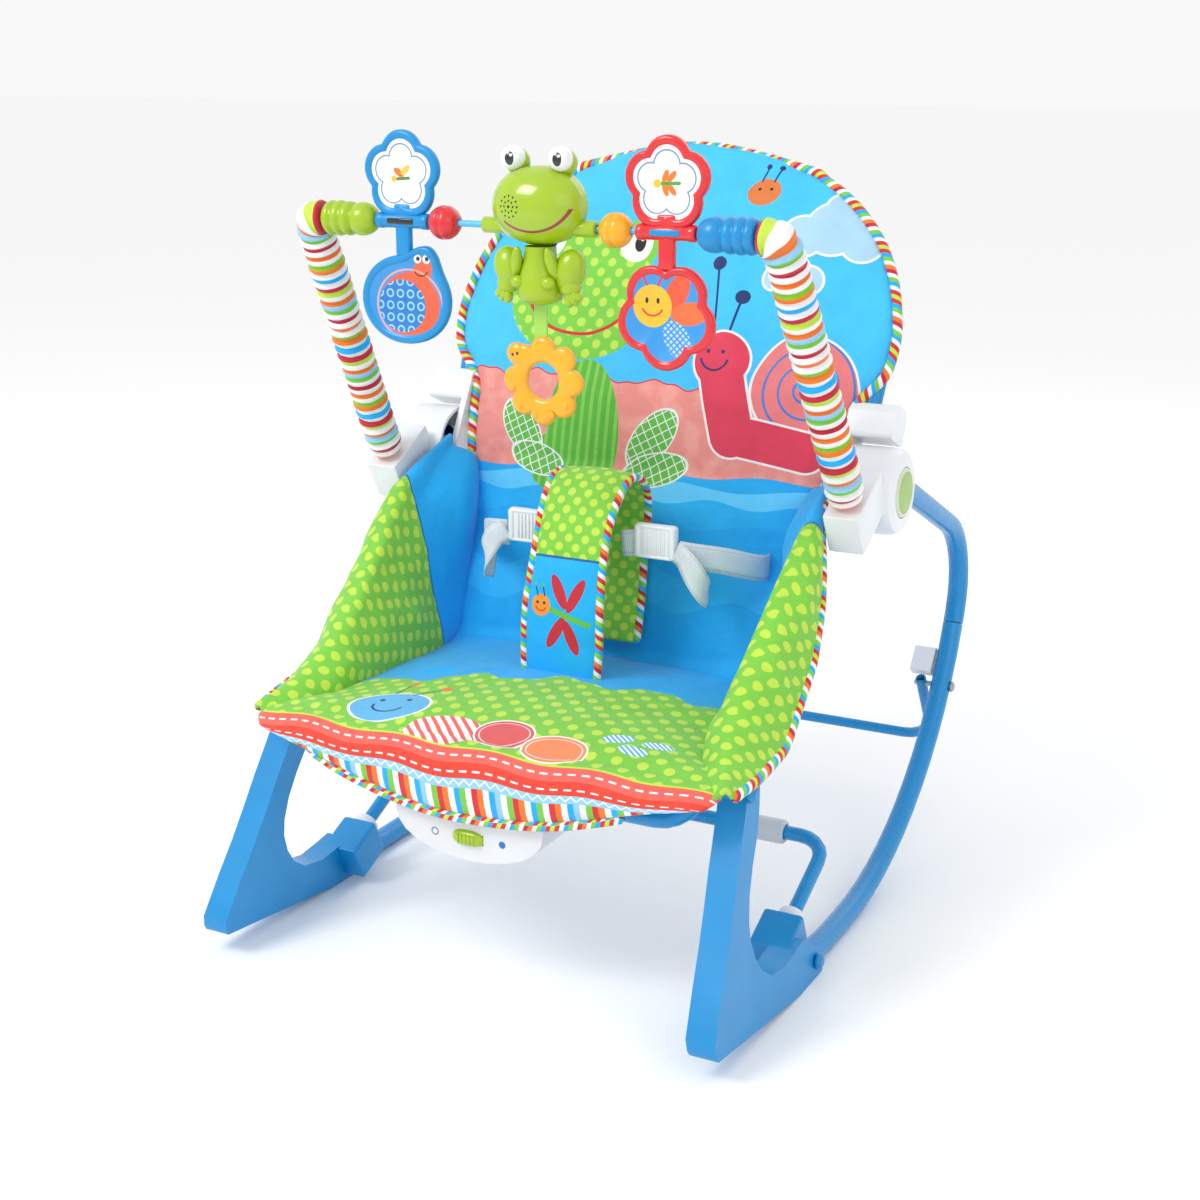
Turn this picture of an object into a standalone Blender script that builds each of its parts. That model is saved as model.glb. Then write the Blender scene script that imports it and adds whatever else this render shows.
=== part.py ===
"""Rocking bouncer seat for a baby: two moulded feet with rocker rails, a sling seat, a reclining back,
a fold-out kickstand, a vibration unit under the front edge and a lift-off toy bar.

Metres, +Z up. The origin lies on the floor midway between the feet, -Y is the front (the baby's feet).
Every mirrored pair is named left_ (-X) and right_ (+X).
"""

import math

import bmesh
import bpy
from mathutils import Matrix, Vector

# --- driving dimensions -------------------------------------------------------------------------
GAP = 0.0004                    # clearance between touching pieces
FLOOR_Z = 0.009                 # height of the floor in the sizes below; the finished seat is set down by it

HUB_Y, HUB_Z = 0.055, 0.374     # recline axis, along X
HUB_R, HUB_INNER, HUB_OUTER = 0.036, 0.188, 0.235
HUB_WALL = 0.003
BUTTON_R, BUTTON_THICK, BUTTON_PROUD = 0.021, 0.006, 0.0015

FOOT_INNER, FOOT_OUTER = 0.2075, 0.2305
FOOT_LEAN = 0.108               # inward lean of the foot, per metre of height
SOLE_FRONT, SOLE_BACK = -0.135, -0.088   # the flat stretch of the foot's sole
SOCKET_SIZE, SOCKET_AT = (0.034, 0.038, 0.034), (0.2035, -0.1135, 0.0385)

RAIL_X, RAIL_R, RAIL_WALL = 0.219, 0.0095, 0.0011
RAIL_START = (-0.140, 0.0258)   # (y, z) of the rail's end inside the foot
FLAT_FRONT, FLAT_BACK = -0.052, -0.008   # where the rail lies on the floor
ROCKER_R = 0.3031               # centreline radius of the lower rail behind its flat stretch
ROCKER_SWEEP = math.radians(66.9)
REAR_BEND_R = 0.072
REAR_HEADING = math.radians(156.0)
RAIL_STOP_R = 0.025             # rail end, measured from the recline axis

SEAT_R, SEAT_WALL = 0.007, 0.0010
SEAT_FRONT = (0.1735, -0.226, 0.176)      # the seat tube's front corner
SEAT_KNEE = (0.191, -0.035, 0.347)
SEAT_END = (0.191, 0.031, 0.375)
SEAT_BEND_R, SEAT_CORNER_R = 0.060, 0.028

BRACE_X, BRACE_R, BRACE_WALL = 0.2055, 0.006, 0.0010
BRACE_LOW, BRACE_HIGH = (-0.120, 0.0389), (-0.014, 0.0880)
SLEEVE_X, SLEEVE_LENGTH = 0.151, 0.034   # centre of the sleeve that joins brace and crossbar

LEG_BOLT, LEG_SHANK = (-0.200, 0.1985), 0.0032
RAIL_BOLT_Y, RAIL_SHANK, KICK_SHANK = -0.0985, 0.0028, 0.0025

BACK_TILT = math.radians(23.5)
BACK_R, BACK_WALL = 0.008, 0.0010
BACK_HALF_W, BACK_SHOULDER, BACK_RISE = 0.197, 0.105, 0.170
BACK_FOOT_S, BACK_FOOT_X = 0.052, 0.194
BACK_PANEL_THICK = 0.016
BRACKET_INNER = 0.181
BRACKET_LOW, BRACKET_TOP = 0.040, 0.070   # ends of the sleeve round the arch's foot, along the back
BRACKET_X, BRACKET_WIDE = 0.2015, 0.040

KICK_SWEEP = math.radians(55.5) # place of the kickstand's pivot along the lower rail
KICK_X, KICK_R, KICK_WALL, KICK_REACH = 0.2005, 0.005, 0.0012, 0.083
KICK_HANG = math.radians(33.0)  # the folded stand hangs this far back of straight down

TOY_LEAN = math.radians(29.0)
ROD_Y, ROD_Z, ROD_R = -0.142, 0.593, 0.0025
ROD_CLEAR = 0.0003
ARM_X, ARM_R, PEG_R = 0.2138, 0.012, 0.006
ARM_BASE = (-0.0233, 0.3794)    # (y, z) where the padded arm leaves its socket
ARM_CORNER_X = 0.2000
KNOB_IN, KNOB_OUT, KNOB_R = 0.1380, 0.1850, 0.0140
SPINNER_X, SPINNER_THICK = 0.1130, 0.008
RED_BEAD_X, YELLOW_BEAD_X, BEAD_R = -0.0755, 0.0715, 0.0130

HOUSING_TOP, HOUSING_LOW, HOUSING_HALF_W, HOUSING_RIM = 0.1665, 0.121, 0.066, 0.010
HOUSING_FRONT, HOUSING_BACK, HOUSING_WALL = -0.2490, -0.1960, 0.0025
SWITCH_Z, SWITCH_TRAVEL = 0.1400, 0.006
CELL_Y, CELL_Z, CELL_R, CELL_LENGTH = -0.2195, 0.1475, 0.0131, 0.0500

CUSHION_WIDTH, PANEL_X, PANEL_THICK, PANEL_LEAN = 0.326, 0.1590, 0.010, 0.13
BUCKLE_SIZE, BUCKLE_AT = (0.040, 0.011, 0.030), (0.0595, -0.045, 0.3350)

FROG_X = 0.0080
HEAD, HEAD_WALL, HEAD_UP, SPLIT = (0.0375, 0.0275, 0.0300), 0.0025, 0.0170, 0.0003
EYE_R, EYE_OUT, EYE_UP = 0.0095, 0.0200, 0.0500
STUB_R, BODY_TOP, BODY_LOW = 0.0060, ROD_Z - 0.0140, ROD_Z - 0.0570
STRAP_W, STRAP_T, STRAP_CLEAR = 0.0110, 0.0024, 0.0006
STRAP_TOP, STRAP_LOW = ROD_Z - 0.0200, ROD_Z - 0.0900
RING_PIVOT = ROD_Z - 0.0870

# --- colours: (red, green, blue), roughness, metallic -------------------------------------------
BLUE = ((0.01, 0.26, 0.72), 0.30, 0.0)
WHITE = ((0.83, 0.84, 0.86), 0.32, 0.0)
GREY = ((0.60, 0.62, 0.66), 0.40, 0.0)
GREEN = ((0.36, 0.62, 0.02), 0.28, 0.0)
RED = ((0.72, 0.02, 0.03), 0.28, 0.0)
YELLOW = ((0.90, 0.52, 0.01), 0.28, 0.0)
STEEL = ((0.60, 0.60, 0.62), 0.25, 1.0)
CELL = ((0.10, 0.10, 0.11), 0.35, 0.6)
FABRIC_BLUE = ((0.02, 0.35, 0.80), 0.85, 0.0)
FABRIC_GREEN = ((0.35, 0.65, 0.10), 0.85, 0.0)
FABRIC_STRIPE = ((0.75, 0.25, 0.08), 0.85, 0.0)
WEBBING = ((0.80, 0.82, 0.86), 0.75, 0.0)

SIDES = (("left", -1), ("right", 1))


# --- scene helpers ------------------------------------------------------------------------------
def clear_scene():
    for o in list(bpy.data.objects):
        bpy.data.objects.remove(o, do_unlink=True)
    for c in list(bpy.data.collections):
        bpy.data.collections.remove(c)


def new_collection(name):
    c = bpy.data.collections.new(name)
    bpy.context.scene.collection.children.link(c)
    return c


def material(name, look):
    colour, rough, metal = look
    m = bpy.data.materials.new(name)
    m.use_nodes = True
    shader = m.node_tree.nodes["Principled BSDF"]
    shader.inputs["Base Color"].default_value = (*colour, 1.0)
    shader.inputs["Roughness"].default_value = rough
    shader.inputs["Metallic"].default_value = metal
    return m


def new_object(name, mesh, collection):
    o = bpy.data.objects.new(name, mesh)
    collection.objects.link(o)
    return o


def set_origin(o, point):
    """Moves the origin to a world point and leaves the shape where it is."""
    shift = Vector(point)
    o.data.transform(Matrix.Translation(-shift))
    o.location = shift


def keep(o, name, look, origin=None, smooth=30.0):
    """Names a finished piece, gives it its material and its origin, and shades it."""
    o.name = name
    o.data.name = name
    o.data.materials.clear()
    o.data.materials.append(material(name, look))
    o.data.shade_smooth()
    o.data.set_sharp_from_angle(angle=math.radians(smooth))
    if origin:
        set_origin(o, origin)
    return o


def baked(o):
    """A plain mesh object from an object with modifiers or a curve; the old object is removed."""
    bpy.context.view_layer.update()
    graph = bpy.context.evaluated_depsgraph_get()
    mesh = bpy.data.meshes.new_from_object(o.evaluated_get(graph), depsgraph=graph)
    b = bmesh.new()
    b.from_mesh(mesh)
    bmesh.ops.remove_doubles(b, verts=b.verts, dist=1e-5)
    bmesh.ops.recalc_face_normals(b, faces=b.faces)
    b.to_mesh(mesh)
    b.free()
    mesh.transform(o.matrix_world)
    made = new_object("solid", mesh, PARTS)
    bpy.data.objects.remove(o, do_unlink=True)
    return made


# --- shape helpers ------------------------------------------------------------------------------
def block(size, centre, turn_x=0.0, bevel=0.0):
    """A box of that size, turned about X, with rounded edges where bevel is given."""
    b = bmesh.new()
    bmesh.ops.create_cube(b, size=1.0)
    bmesh.ops.scale(b, vec=size, verts=b.verts)
    mesh = bpy.data.meshes.new("block")
    b.to_mesh(mesh)
    b.free()
    o = new_object("block", mesh, PARTS)
    if bevel:
        m = o.modifiers.new("bevel", "BEVEL")
        m.width = bevel
        m.segments = 2
    o.matrix_world = Matrix.Translation(centre) @ Matrix.Rotation(turn_x, 4, "X")
    return baked(o)


def rod(start, end, radius, sides=20, radius_end=None):
    """A solid cylinder or cone between two points."""
    start, end = Vector(start), Vector(end)
    b = bmesh.new()
    bmesh.ops.create_cone(b, cap_ends=True, segments=sides, radius1=radius,
                          radius2=radius if radius_end is None else radius_end,
                          depth=(end - start).length)
    turn = (end - start).to_track_quat("Z", "Y").to_matrix().to_4x4()
    b.transform(Matrix.Translation((start + end) / 2) @ turn)
    mesh = bpy.data.meshes.new("rod")
    b.to_mesh(mesh)
    b.free()
    return new_object("rod", mesh, PARTS)


def ball(centre, radii, turn_y=0.0, rings=8, segments=14):
    """An ellipsoid."""
    b = bmesh.new()
    bmesh.ops.create_uvsphere(b, u_segments=segments, v_segments=rings, radius=1.0)
    b.transform(Matrix.Translation(centre) @ Matrix.Rotation(turn_y, 4, "Y") @ Matrix.Diagonal((*radii, 1)))
    mesh = bpy.data.meshes.new("ball")
    b.to_mesh(mesh)
    b.free()
    return new_object("ball", mesh, PARTS)


def turned(profile, at, direction, steps=24):
    """A turned solid. The profile is (radius, along) pairs, from the far end down to the near one on
    its outer side; at is the point that along = 0 stands for, and direction the turning axis."""
    mesh = bpy.data.meshes.new("turned")
    b = bmesh.new()
    points = [b.verts.new((r, 0, h)) for r, h in profile]
    hollow = profile[0][0] > 0
    for p, q in zip(points, points[1:] + points[:1] if hollow else points[1:]):
        b.edges.new((p, q))
    b.to_mesh(mesh)
    b.free()
    o = new_object("turned", mesh, PARTS)
    m = o.modifiers.new("screw", "SCREW")
    m.steps = steps
    m.render_steps = steps
    m.use_merge_vertices = True
    m.merge_threshold = 0.00001
    turn = Vector(direction).to_track_quat("Z", "Y").to_matrix().to_4x4()
    o.matrix_world = Matrix.Translation(at) @ turn
    return baked(o)


def plate(outlines, thickness, plane="YZ", at=0.0):
    """A flat outline, with any holes in it, extruded to its thickness about the plane at that offset.
    Plane YZ takes (y, z) points and stands at x = at; plane XZ takes (x, z) and stands at y = at."""
    curve = bpy.data.curves.new("plate", "CURVE")
    curve.dimensions = "2D"
    curve.fill_mode = "BOTH"
    curve.extrude = thickness / 2
    for outline in outlines:
        s = curve.splines.new("POLY")
        s.points.add(len(outline) - 1)
        for p, (a, b) in zip(s.points, outline):
            p.co = (a, b, 0, 1)
        s.use_cyclic_u = True
    o = bpy.data.objects.new("plate", curve)
    PARTS.objects.link(o)
    axes = {
        "YZ": Matrix(((0, 0, 1, at), (1, 0, 0, 0), (0, 1, 0, 0), (0, 0, 0, 1))),
        "XZ": Matrix(((1, 0, 0, 0), (0, 0, -1, at), (0, 1, 0, 0), (0, 0, 0, 1))),
    }
    o.matrix_world = axes[plane]
    return baked(o)


def tube(points, radius, wall=None, sides=3):
    """A bent tube along points: hollow with open ends where a wall is given, or else solid.
    sides is the bevel resolution, which gives 2 * sides + 4 flats."""
    curve = bpy.data.curves.new("tube", "CURVE")
    curve.dimensions = "3D"
    curve.bevel_depth = radius
    curve.bevel_resolution = sides
    curve.use_fill_caps = wall is None
    s = curve.splines.new("POLY")
    s.points.add(len(points) - 1)
    for p, co in zip(s.points, points):
        p.co = (*co, 1)
    o = bpy.data.objects.new("tube", curve)
    PARTS.objects.link(o)
    o = baked(o)
    if wall is not None:
        m = o.modifiers.new("wall", "SOLIDIFY")
        m.thickness = wall
        m.offset = -1.0
        m.use_even_offset = True
        o = baked(o)
    return o


def cut(o, *cutters, operation="DIFFERENCE"):
    """Boolean of o with each cutter; the cutters are removed."""
    for c in cutters:
        c.hide_render = True
        c.display_type = "WIRE"
        m = o.modifiers.new("cut", "BOOLEAN")
        m.operation = operation
        m.solver = "EXACT"
        m.object = c
        made = baked(o)
        bpy.data.objects.remove(c, do_unlink=True)
        o = made
    return o


def join(o, *others):
    return cut(o, *others, operation="UNION")


# --- path helpers -------------------------------------------------------------------------------
def filleted(corners, radius, step=math.radians(15)):
    """A path through corner points whose inner corners are rounded with arcs of that radius."""
    corners = [Vector(c) for c in corners]
    path = [corners[0]]
    for before, corner, after in zip(corners, corners[1:], corners[2:]):
        a, b = (before - corner).normalized(), (after - corner).normalized()
        angle = a.angle(b)
        reach = radius / math.tan(angle / 2)
        centre = corner + (a + b).normalized() * (radius / math.sin(angle / 2))
        first, last = corner + a * reach - centre, corner + b * reach - centre
        count = max(2, round(first.angle(last) / step))
        for i in range(count + 1):
            path.append(centre + first.slerp(last, i / count).normalized() * radius)
    path.append(corners[-1])
    return path


def arc(centre, radius, start, end, count):
    """Points (a, b) on an arc; angles in radians from the first axis."""
    return [(centre[0] + radius * math.cos(start + (end - start) * i / count),
             centre[1] + radius * math.sin(start + (end - start) * i / count)) for i in range(count + 1)]


def rounded_outline(corners, radii, step=math.radians(30)):
    """A closed 2D outline whose corners are rounded, each by its own radius."""
    n = len(corners)
    out = []
    for i, radius in enumerate(radii):
        before, corner, after = (Vector(corners[(i + k) % n]) for k in (-1, 0, 1))
        if not radius:
            out.append(tuple(corner))
            continue
        a, b = (before - corner).normalized(), (after - corner).normalized()
        angle = a.angle(b)
        reach = radius / math.tan(angle / 2)
        centre = corner + (a + b).normalized() * (radius / math.sin(angle / 2))
        first, last = corner + a * reach - centre, corner + b * reach - centre
        turn = first.angle_signed(last)
        count = max(2, round(abs(turn) / step))
        for k in range(count + 1):
            c, s = math.cos(-turn * k / count), math.sin(-turn * k / count)
            out.append((centre.x + first.x * c - first.y * s, centre.y + first.x * s + first.y * c))
    return out


def ribbon(line, thickness):
    """A closed outline of that thickness along an open 2D line."""
    line = [Vector(p) for p in line]
    offsets = []
    for i, p in enumerate(line):
        d = (line[min(i + 1, len(line) - 1)] - line[max(i - 1, 0)]).normalized()
        offsets.append(Vector((-d.y, d.x)) * thickness / 2)
    there = [tuple(p + o) for p, o in zip(line, offsets)]
    back = [tuple(p - o) for p, o in zip(line, offsets)]
    return there + back[::-1]


def lobed(centre, radius, swell, lobes, count, phase=0.0):
    """A closed outline with that many round lobes."""
    out = []
    for i in range(count):
        t = 2 * math.pi * i / count
        r = radius + swell * abs(math.cos(lobes * (t - phase) / 2))
        out.append((centre[0] + r * math.cos(t), centre[1] + r * math.sin(t)))
    return out


def circle(centre, radius, count=20):
    return arc(centre, radius, 0, 2 * math.pi * (1 - 1 / count), count - 1)


def on_back(x, s, normal=0.0):
    """World point on the back's plane, s up it from the recline axis; normal is towards the baby."""
    c, t = math.cos(BACK_TILT), math.sin(BACK_TILT)
    return Vector((x, HUB_Y + s * t - normal * c, HUB_Z + s * c + normal * t))


# --- rocker rail geometry -----------------------------------------------------------------------
# the tubes have ten flats, one of them underneath, so the rail rests on a flat and not on its full radius
RAIL_LOW = FLOOR_Z + RAIL_R * math.cos(math.pi / 10)
ROCKER_CENTRE = (FLAT_BACK, RAIL_LOW + ROCKER_R)


def rocker_point(sweep):
    """(y, z) on the lower rail's centreline, sweep radians round from its lowest point."""
    return (ROCKER_CENTRE[0] + ROCKER_R * math.sin(sweep), ROCKER_CENTRE[1] - ROCKER_R * math.cos(sweep))


def rail_line():
    """(y, z) points of the lower rail: sloping down out of the foot, flat on the floor, then the rocker arc."""
    count = 13
    return [RAIL_START, (FLAT_FRONT, RAIL_LOW)] + [rocker_point(ROCKER_SWEEP * i / count) for i in range(count + 1)]


def rail_bolt_point():
    """(y, z) of the bolt that holds the rail in the foot."""
    share = (RAIL_BOLT_Y - RAIL_START[0]) / (FLAT_FRONT - RAIL_START[0])
    return (RAIL_BOLT_Y, RAIL_START[1] + (RAIL_LOW - RAIL_START[1]) * share)


def seat_rail_at(y):
    """Point of the seat tube's straight side rail at that y, right side."""
    front, knee = Vector(SEAT_FRONT), Vector(SEAT_KNEE)
    return front.lerp(knee, (y - front.y) / (knee.y - front.y))


# --- frame --------------------------------------------------------------------------------------
def leaned(o, sign, slope, from_z):
    """Shears a piece inwards with height."""
    lean = Matrix.Identity(4)
    lean[0][2] = -sign * slope
    lean[0][3] = sign * slope * from_z
    o.data.transform(lean)
    return o


def make_feet():
    """Moulded V-shaped feet: a leg up to the seat tube and a lower arm that holds the rail."""
    toe = [(-0.2885, 0.0285), (-0.2915, 0.0330), (-0.2925, 0.0425)]
    leg_front = [(-0.2850, 0.0554), (-0.2740, 0.0740), (-0.2585, 0.0980), (-0.2425, 0.1265), (-0.2310, 0.1480),
                 (-0.2215, 0.1640), (-0.2085, 0.1870)]
    leg_top = [(-0.1980, 0.2085), (-0.1920, 0.2130), (-0.1830, 0.2120), (-0.1775, 0.2060)]
    leg_back = [(-0.1835, 0.1830), (-0.1910, 0.1640), (-0.2045, 0.1430), (-0.2140, 0.1235), (-0.2185, 0.1050),
                (-0.2180, 0.0900), (-0.2120, 0.0740), (-0.2020, 0.0600), (-0.1860, 0.0490)]
    arm = [(-0.1600, 0.0440), (-0.1380, 0.0470), (-0.1210, 0.0500), (-0.1090, 0.0435), (-0.0960, 0.0335),
           (-0.0860, 0.0250), (-0.0850, 0.0130), (SOLE_BACK, FLOOR_Z), (SOLE_FRONT, FLOOR_Z)]
    outline = toe + leg_front + leg_top + leg_back + arm
    outer_at_leg_bolt = FOOT_OUTER - FOOT_LEAN * (LEG_BOLT[1] - RAIL_LOW)
    for side, sign in SIDES:
        foot = plate([outline], FOOT_OUTER - FOOT_INNER, at=sign * (FOOT_INNER + FOOT_OUTER) / 2)
        foot = leaned(foot, sign, FOOT_LEAN, RAIL_LOW)
        low = Vector((sign * BRACE_X, *BRACE_LOW))
        high = Vector((sign * BRACE_X, *BRACE_HIGH))
        slope = math.atan2(high.z - low.z, high.y - low.y)
        socket_x, socket_y, socket_z = SOCKET_AT
        socket = block(SOCKET_SIZE, (sign * socket_x, socket_y, socket_z), turn_x=slope, bevel=0.003)
        tube_side = seat_rail_at(LEG_BOLT[0]).x + SEAT_R + 3 * GAP
        spacer = rod((sign * tube_side, *LEG_BOLT), (sign * (outer_at_leg_bolt - 0.010), *LEG_BOLT), 0.008, 14)
        foot = join(foot, socket, spacer)
        brace_bore = rod(low - (high - low) * 0.03, high, BRACE_R + GAP)
        first, second = rail_line()[:2]
        start = (first[0] - 0.001, first[1] + 0.0001)
        rail_bore = tube([(sign * RAIL_X, *start), (sign * RAIL_X, *second)], RAIL_R + GAP)
        rail_bolt = rod((sign * 0.200, *rail_bolt_point()), (sign * 0.24, *rail_bolt_point()),
                        RAIL_SHANK + GAP / 2, 12)
        leg_bolt = rod((sign * 0.17, *LEG_BOLT), (sign * 0.24, *LEG_BOLT), LEG_SHANK + GAP / 2, 12)
        foot = cut(foot, brace_bore, rail_bore, rail_bolt, leg_bolt)
        keep(foot, f"{side}_foot", BLUE)


def rear_rail_line():
    """(y, z) corner points of the upper rail: from the joint, round the rear bend and into the hub."""
    heading = ROCKER_SWEEP
    start = Vector(rocker_point(heading))
    out = Vector((math.cos(heading), math.sin(heading)))
    hub_line = Vector((-math.cos(REAR_HEADING), -math.sin(REAR_HEADING)))
    aim = Vector((HUB_Y + 0.018, HUB_Z + 0.006))
    # the corner where the two straight lines meet
    d = aim - start
    along = (d.x * hub_line.y - d.y * hub_line.x) / (out.x * hub_line.y - out.y * hub_line.x)
    corner = start + out * along
    end = aim + hub_line * (RAIL_STOP_R - 0.018)
    return [start + out * 3 * GAP, corner, end]


def make_rails():
    kick = rocker_point(KICK_SWEEP)
    for side, sign in SIDES:
        front = tube([(sign * RAIL_X, y, z) for y, z in rail_line()], RAIL_R, RAIL_WALL)
        front = cut(front,
                    rod((sign * 0.200, *rail_bolt_point()), (sign * 0.24, *rail_bolt_point()),
                        RAIL_SHANK + GAP / 2, 12),
                    rod((sign * 0.200, *kick), (sign * 0.24, *kick), KICK_SHANK + GAP / 2, 12))
        keep(front, f"{side}_rail_front", BLUE)
        corners = [(sign * RAIL_X, p.x, p.y) for p in rear_rail_line()]
        path = filleted(corners, REAR_BEND_R, math.radians(11))
        keep(tube(path, RAIL_R, RAIL_WALL), f"{side}_rail_rear", BLUE)


def make_hubs():
    """White hub shells: an open cup facing inwards, with a hole for the button and the toy bar's socket."""
    arm = Vector((0, -math.sin(TOY_LEAN), math.cos(TOY_LEAN)))
    across = Vector((0, math.cos(TOY_LEAN), math.sin(TOY_LEAN)))
    base = Vector((0, *ARM_BASE))
    width = HUB_OUTER - HUB_INNER
    hole = BUTTON_R + GAP
    profile = [(hole, width), (HUB_R - 0.008, width), (HUB_R - 0.003, width - 0.002), (HUB_R - 0.0005, width - 0.007),
               (HUB_R, width - 0.014), (HUB_R, 0.0),
               (HUB_R - HUB_WALL, 0.0), (HUB_R - HUB_WALL, width - 0.010), (HUB_R - 0.009, width - HUB_WALL),
               (hole, width - HUB_WALL)]
    for side, sign in SIDES:
        hub = turned(profile, (sign * HUB_INNER, HUB_Y, HUB_Z), (sign, 0, 0), 20)
        centre = base - arm * 0.020 + across * 0.0130
        socket = block((0.030, 0.060, 0.0375), Vector((sign * 0.2140, 0, 0)) + centre, turn_x=TOY_LEAN, bevel=0.002)
        hub = join(hub, socket)
        peg = base + Vector((sign * ARM_X, 0, 0))
        seat_end = Vector((sign * SEAT_END[0], *SEAT_END[1:]))
        seat_knee = Vector((sign * SEAT_KNEE[0], *SEAT_KNEE[1:]))
        rail = [Vector((sign * RAIL_X, p.x, p.y)) for p in rear_rail_line()]
        inner = rod((sign * (HUB_INNER - 0.01), HUB_Y, HUB_Z), (sign * (HUB_OUTER - HUB_WALL - 0.008), HUB_Y, HUB_Z),
                    HUB_R - HUB_WALL - 0.0006, 20)
        hub = cut(hub, inner,
                  rod(peg - arm * 0.028, peg + arm * 0.02, PEG_R + GAP),
                  rod(seat_knee, seat_end, SEAT_R + GAP),
                  rod(rail[1], rail[2], RAIL_R + GAP))
        keep(hub, f"{side}_hub_shell", WHITE)


def make_buttons():
    for side, sign in SIDES:
        outer = HUB_OUTER + BUTTON_PROUD
        profile = [(0, outer), (BUTTON_R - 0.002, outer), (BUTTON_R, outer - 0.0015),
                   (BUTTON_R, outer - BUTTON_THICK), (0, outer - BUTTON_THICK)]
        button = turned(profile, (0, HUB_Y, HUB_Z), (sign, 0, 0), 20)
        keep(button, f"{side}_recline_button", GREEN, (sign * outer, HUB_Y, HUB_Z))


def make_seat_tube():
    """One tube: hub, down the side, across under the front edge and up to the other hub."""
    side_path = filleted([SEAT_END, SEAT_KNEE, SEAT_FRONT], SEAT_BEND_R, math.radians(12))[:-1]
    mirrored = [Vector((-p.x, p.y, p.z)) for p in side_path]
    left_front = (-SEAT_FRONT[0], *SEAT_FRONT[1:])
    across = filleted([side_path[-1], SEAT_FRONT, left_front, mirrored[-1]], SEAT_CORNER_R, math.radians(18))[1:-1]
    keep(tube(side_path + across + mirrored[::-1], SEAT_R, SEAT_WALL), "seat_tube", BLUE)


def make_brace():
    """Front cross brace: a bent tube from each foot, sleeved onto a straight crossbar."""
    bore = BRACE_R + GAP
    for side, sign in SIDES:
        corners = [(sign * BRACE_X, *BRACE_LOW), (sign * BRACE_X, *BRACE_HIGH), (sign * (SLEEVE_X + GAP), *BRACE_HIGH)]
        keep(tube(filleted(corners, 0.024, math.radians(18)), BRACE_R, BRACE_WALL), f"{side}_brace_tube", BLUE)
        sleeve = turned([(0.0092, SLEEVE_LENGTH), (0.0104, SLEEVE_LENGTH - 0.002), (0.0104, 0.004), (0.0092, 0.0),
                         (bore, 0.0), (bore, SLEEVE_LENGTH)],
                        (sign * (SLEEVE_X - SLEEVE_LENGTH / 2), *BRACE_HIGH), (sign, 0, 0), 16)
        keep(sleeve, f"{side}_brace_sleeve", GREY)
        low, high = Vector((sign * BRACE_X, *BRACE_LOW)), Vector((sign * BRACE_X, *BRACE_HIGH))
        along = (high - low).normalized()
        socket_face = (Vector((sign * BRACE_X, *SOCKET_AT[1:])) - low).dot(along) + SOCKET_SIZE[1] / 2 + GAP
        collar = turned([(0.0105, 0.009), (0.0115, 0.007), (0.0115, 0.0), (bore, 0.0), (bore, 0.009)],
                        low + along * socket_face, along, 16)
        keep(collar, f"{side}_brace_collar", WHITE)
    x = SLEEVE_X - GAP
    keep(tube([(-x, *BRACE_HIGH), (0, *BRACE_HIGH), (x, *BRACE_HIGH)], BRACE_R, BRACE_WALL), "brace_crossbar", BLUE)


def make_bolt(name, at, sign, shank, reach, head_r, head, look):
    """A bolt along X with its domed head outside; reach is how far the shank goes in."""
    profile = [(0, head), (head_r * 0.6, head), (head_r, head * 0.45), (head_r, 0.0), (shank, 0.0),
               (shank, -reach), (0, -reach)]
    keep(turned(profile, at, (sign, 0, 0), 14), name, look)


def make_bolts():
    kick = rocker_point(KICK_SWEEP)
    leg_x = FOOT_OUTER - FOOT_LEAN * (LEG_BOLT[1] - LEG_SHANK - RAIL_LOW - 0.005) + GAP
    rail_x = FOOT_OUTER + GAP
    kick_x = RAIL_X + RAIL_R + GAP
    for side, sign in SIDES:
        make_bolt(f"{side}_leg_bolt", (sign * leg_x, *LEG_BOLT), sign, LEG_SHANK, 0.0220, 0.0070, 0.0055, BLUE)
        make_bolt(f"{side}_rail_bolt", (sign * rail_x, *rail_bolt_point()), sign, RAIL_SHANK, 0.0240, 0.0065,
                  0.0050, BLUE)
        make_bolt(f"{side}_kickstand_bolt", (sign * kick_x, *kick), sign, KICK_SHANK,
                  kick_x - KICK_X + KICK_R + 0.0015, 0.0050, 0.0030, STEEL)


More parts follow.
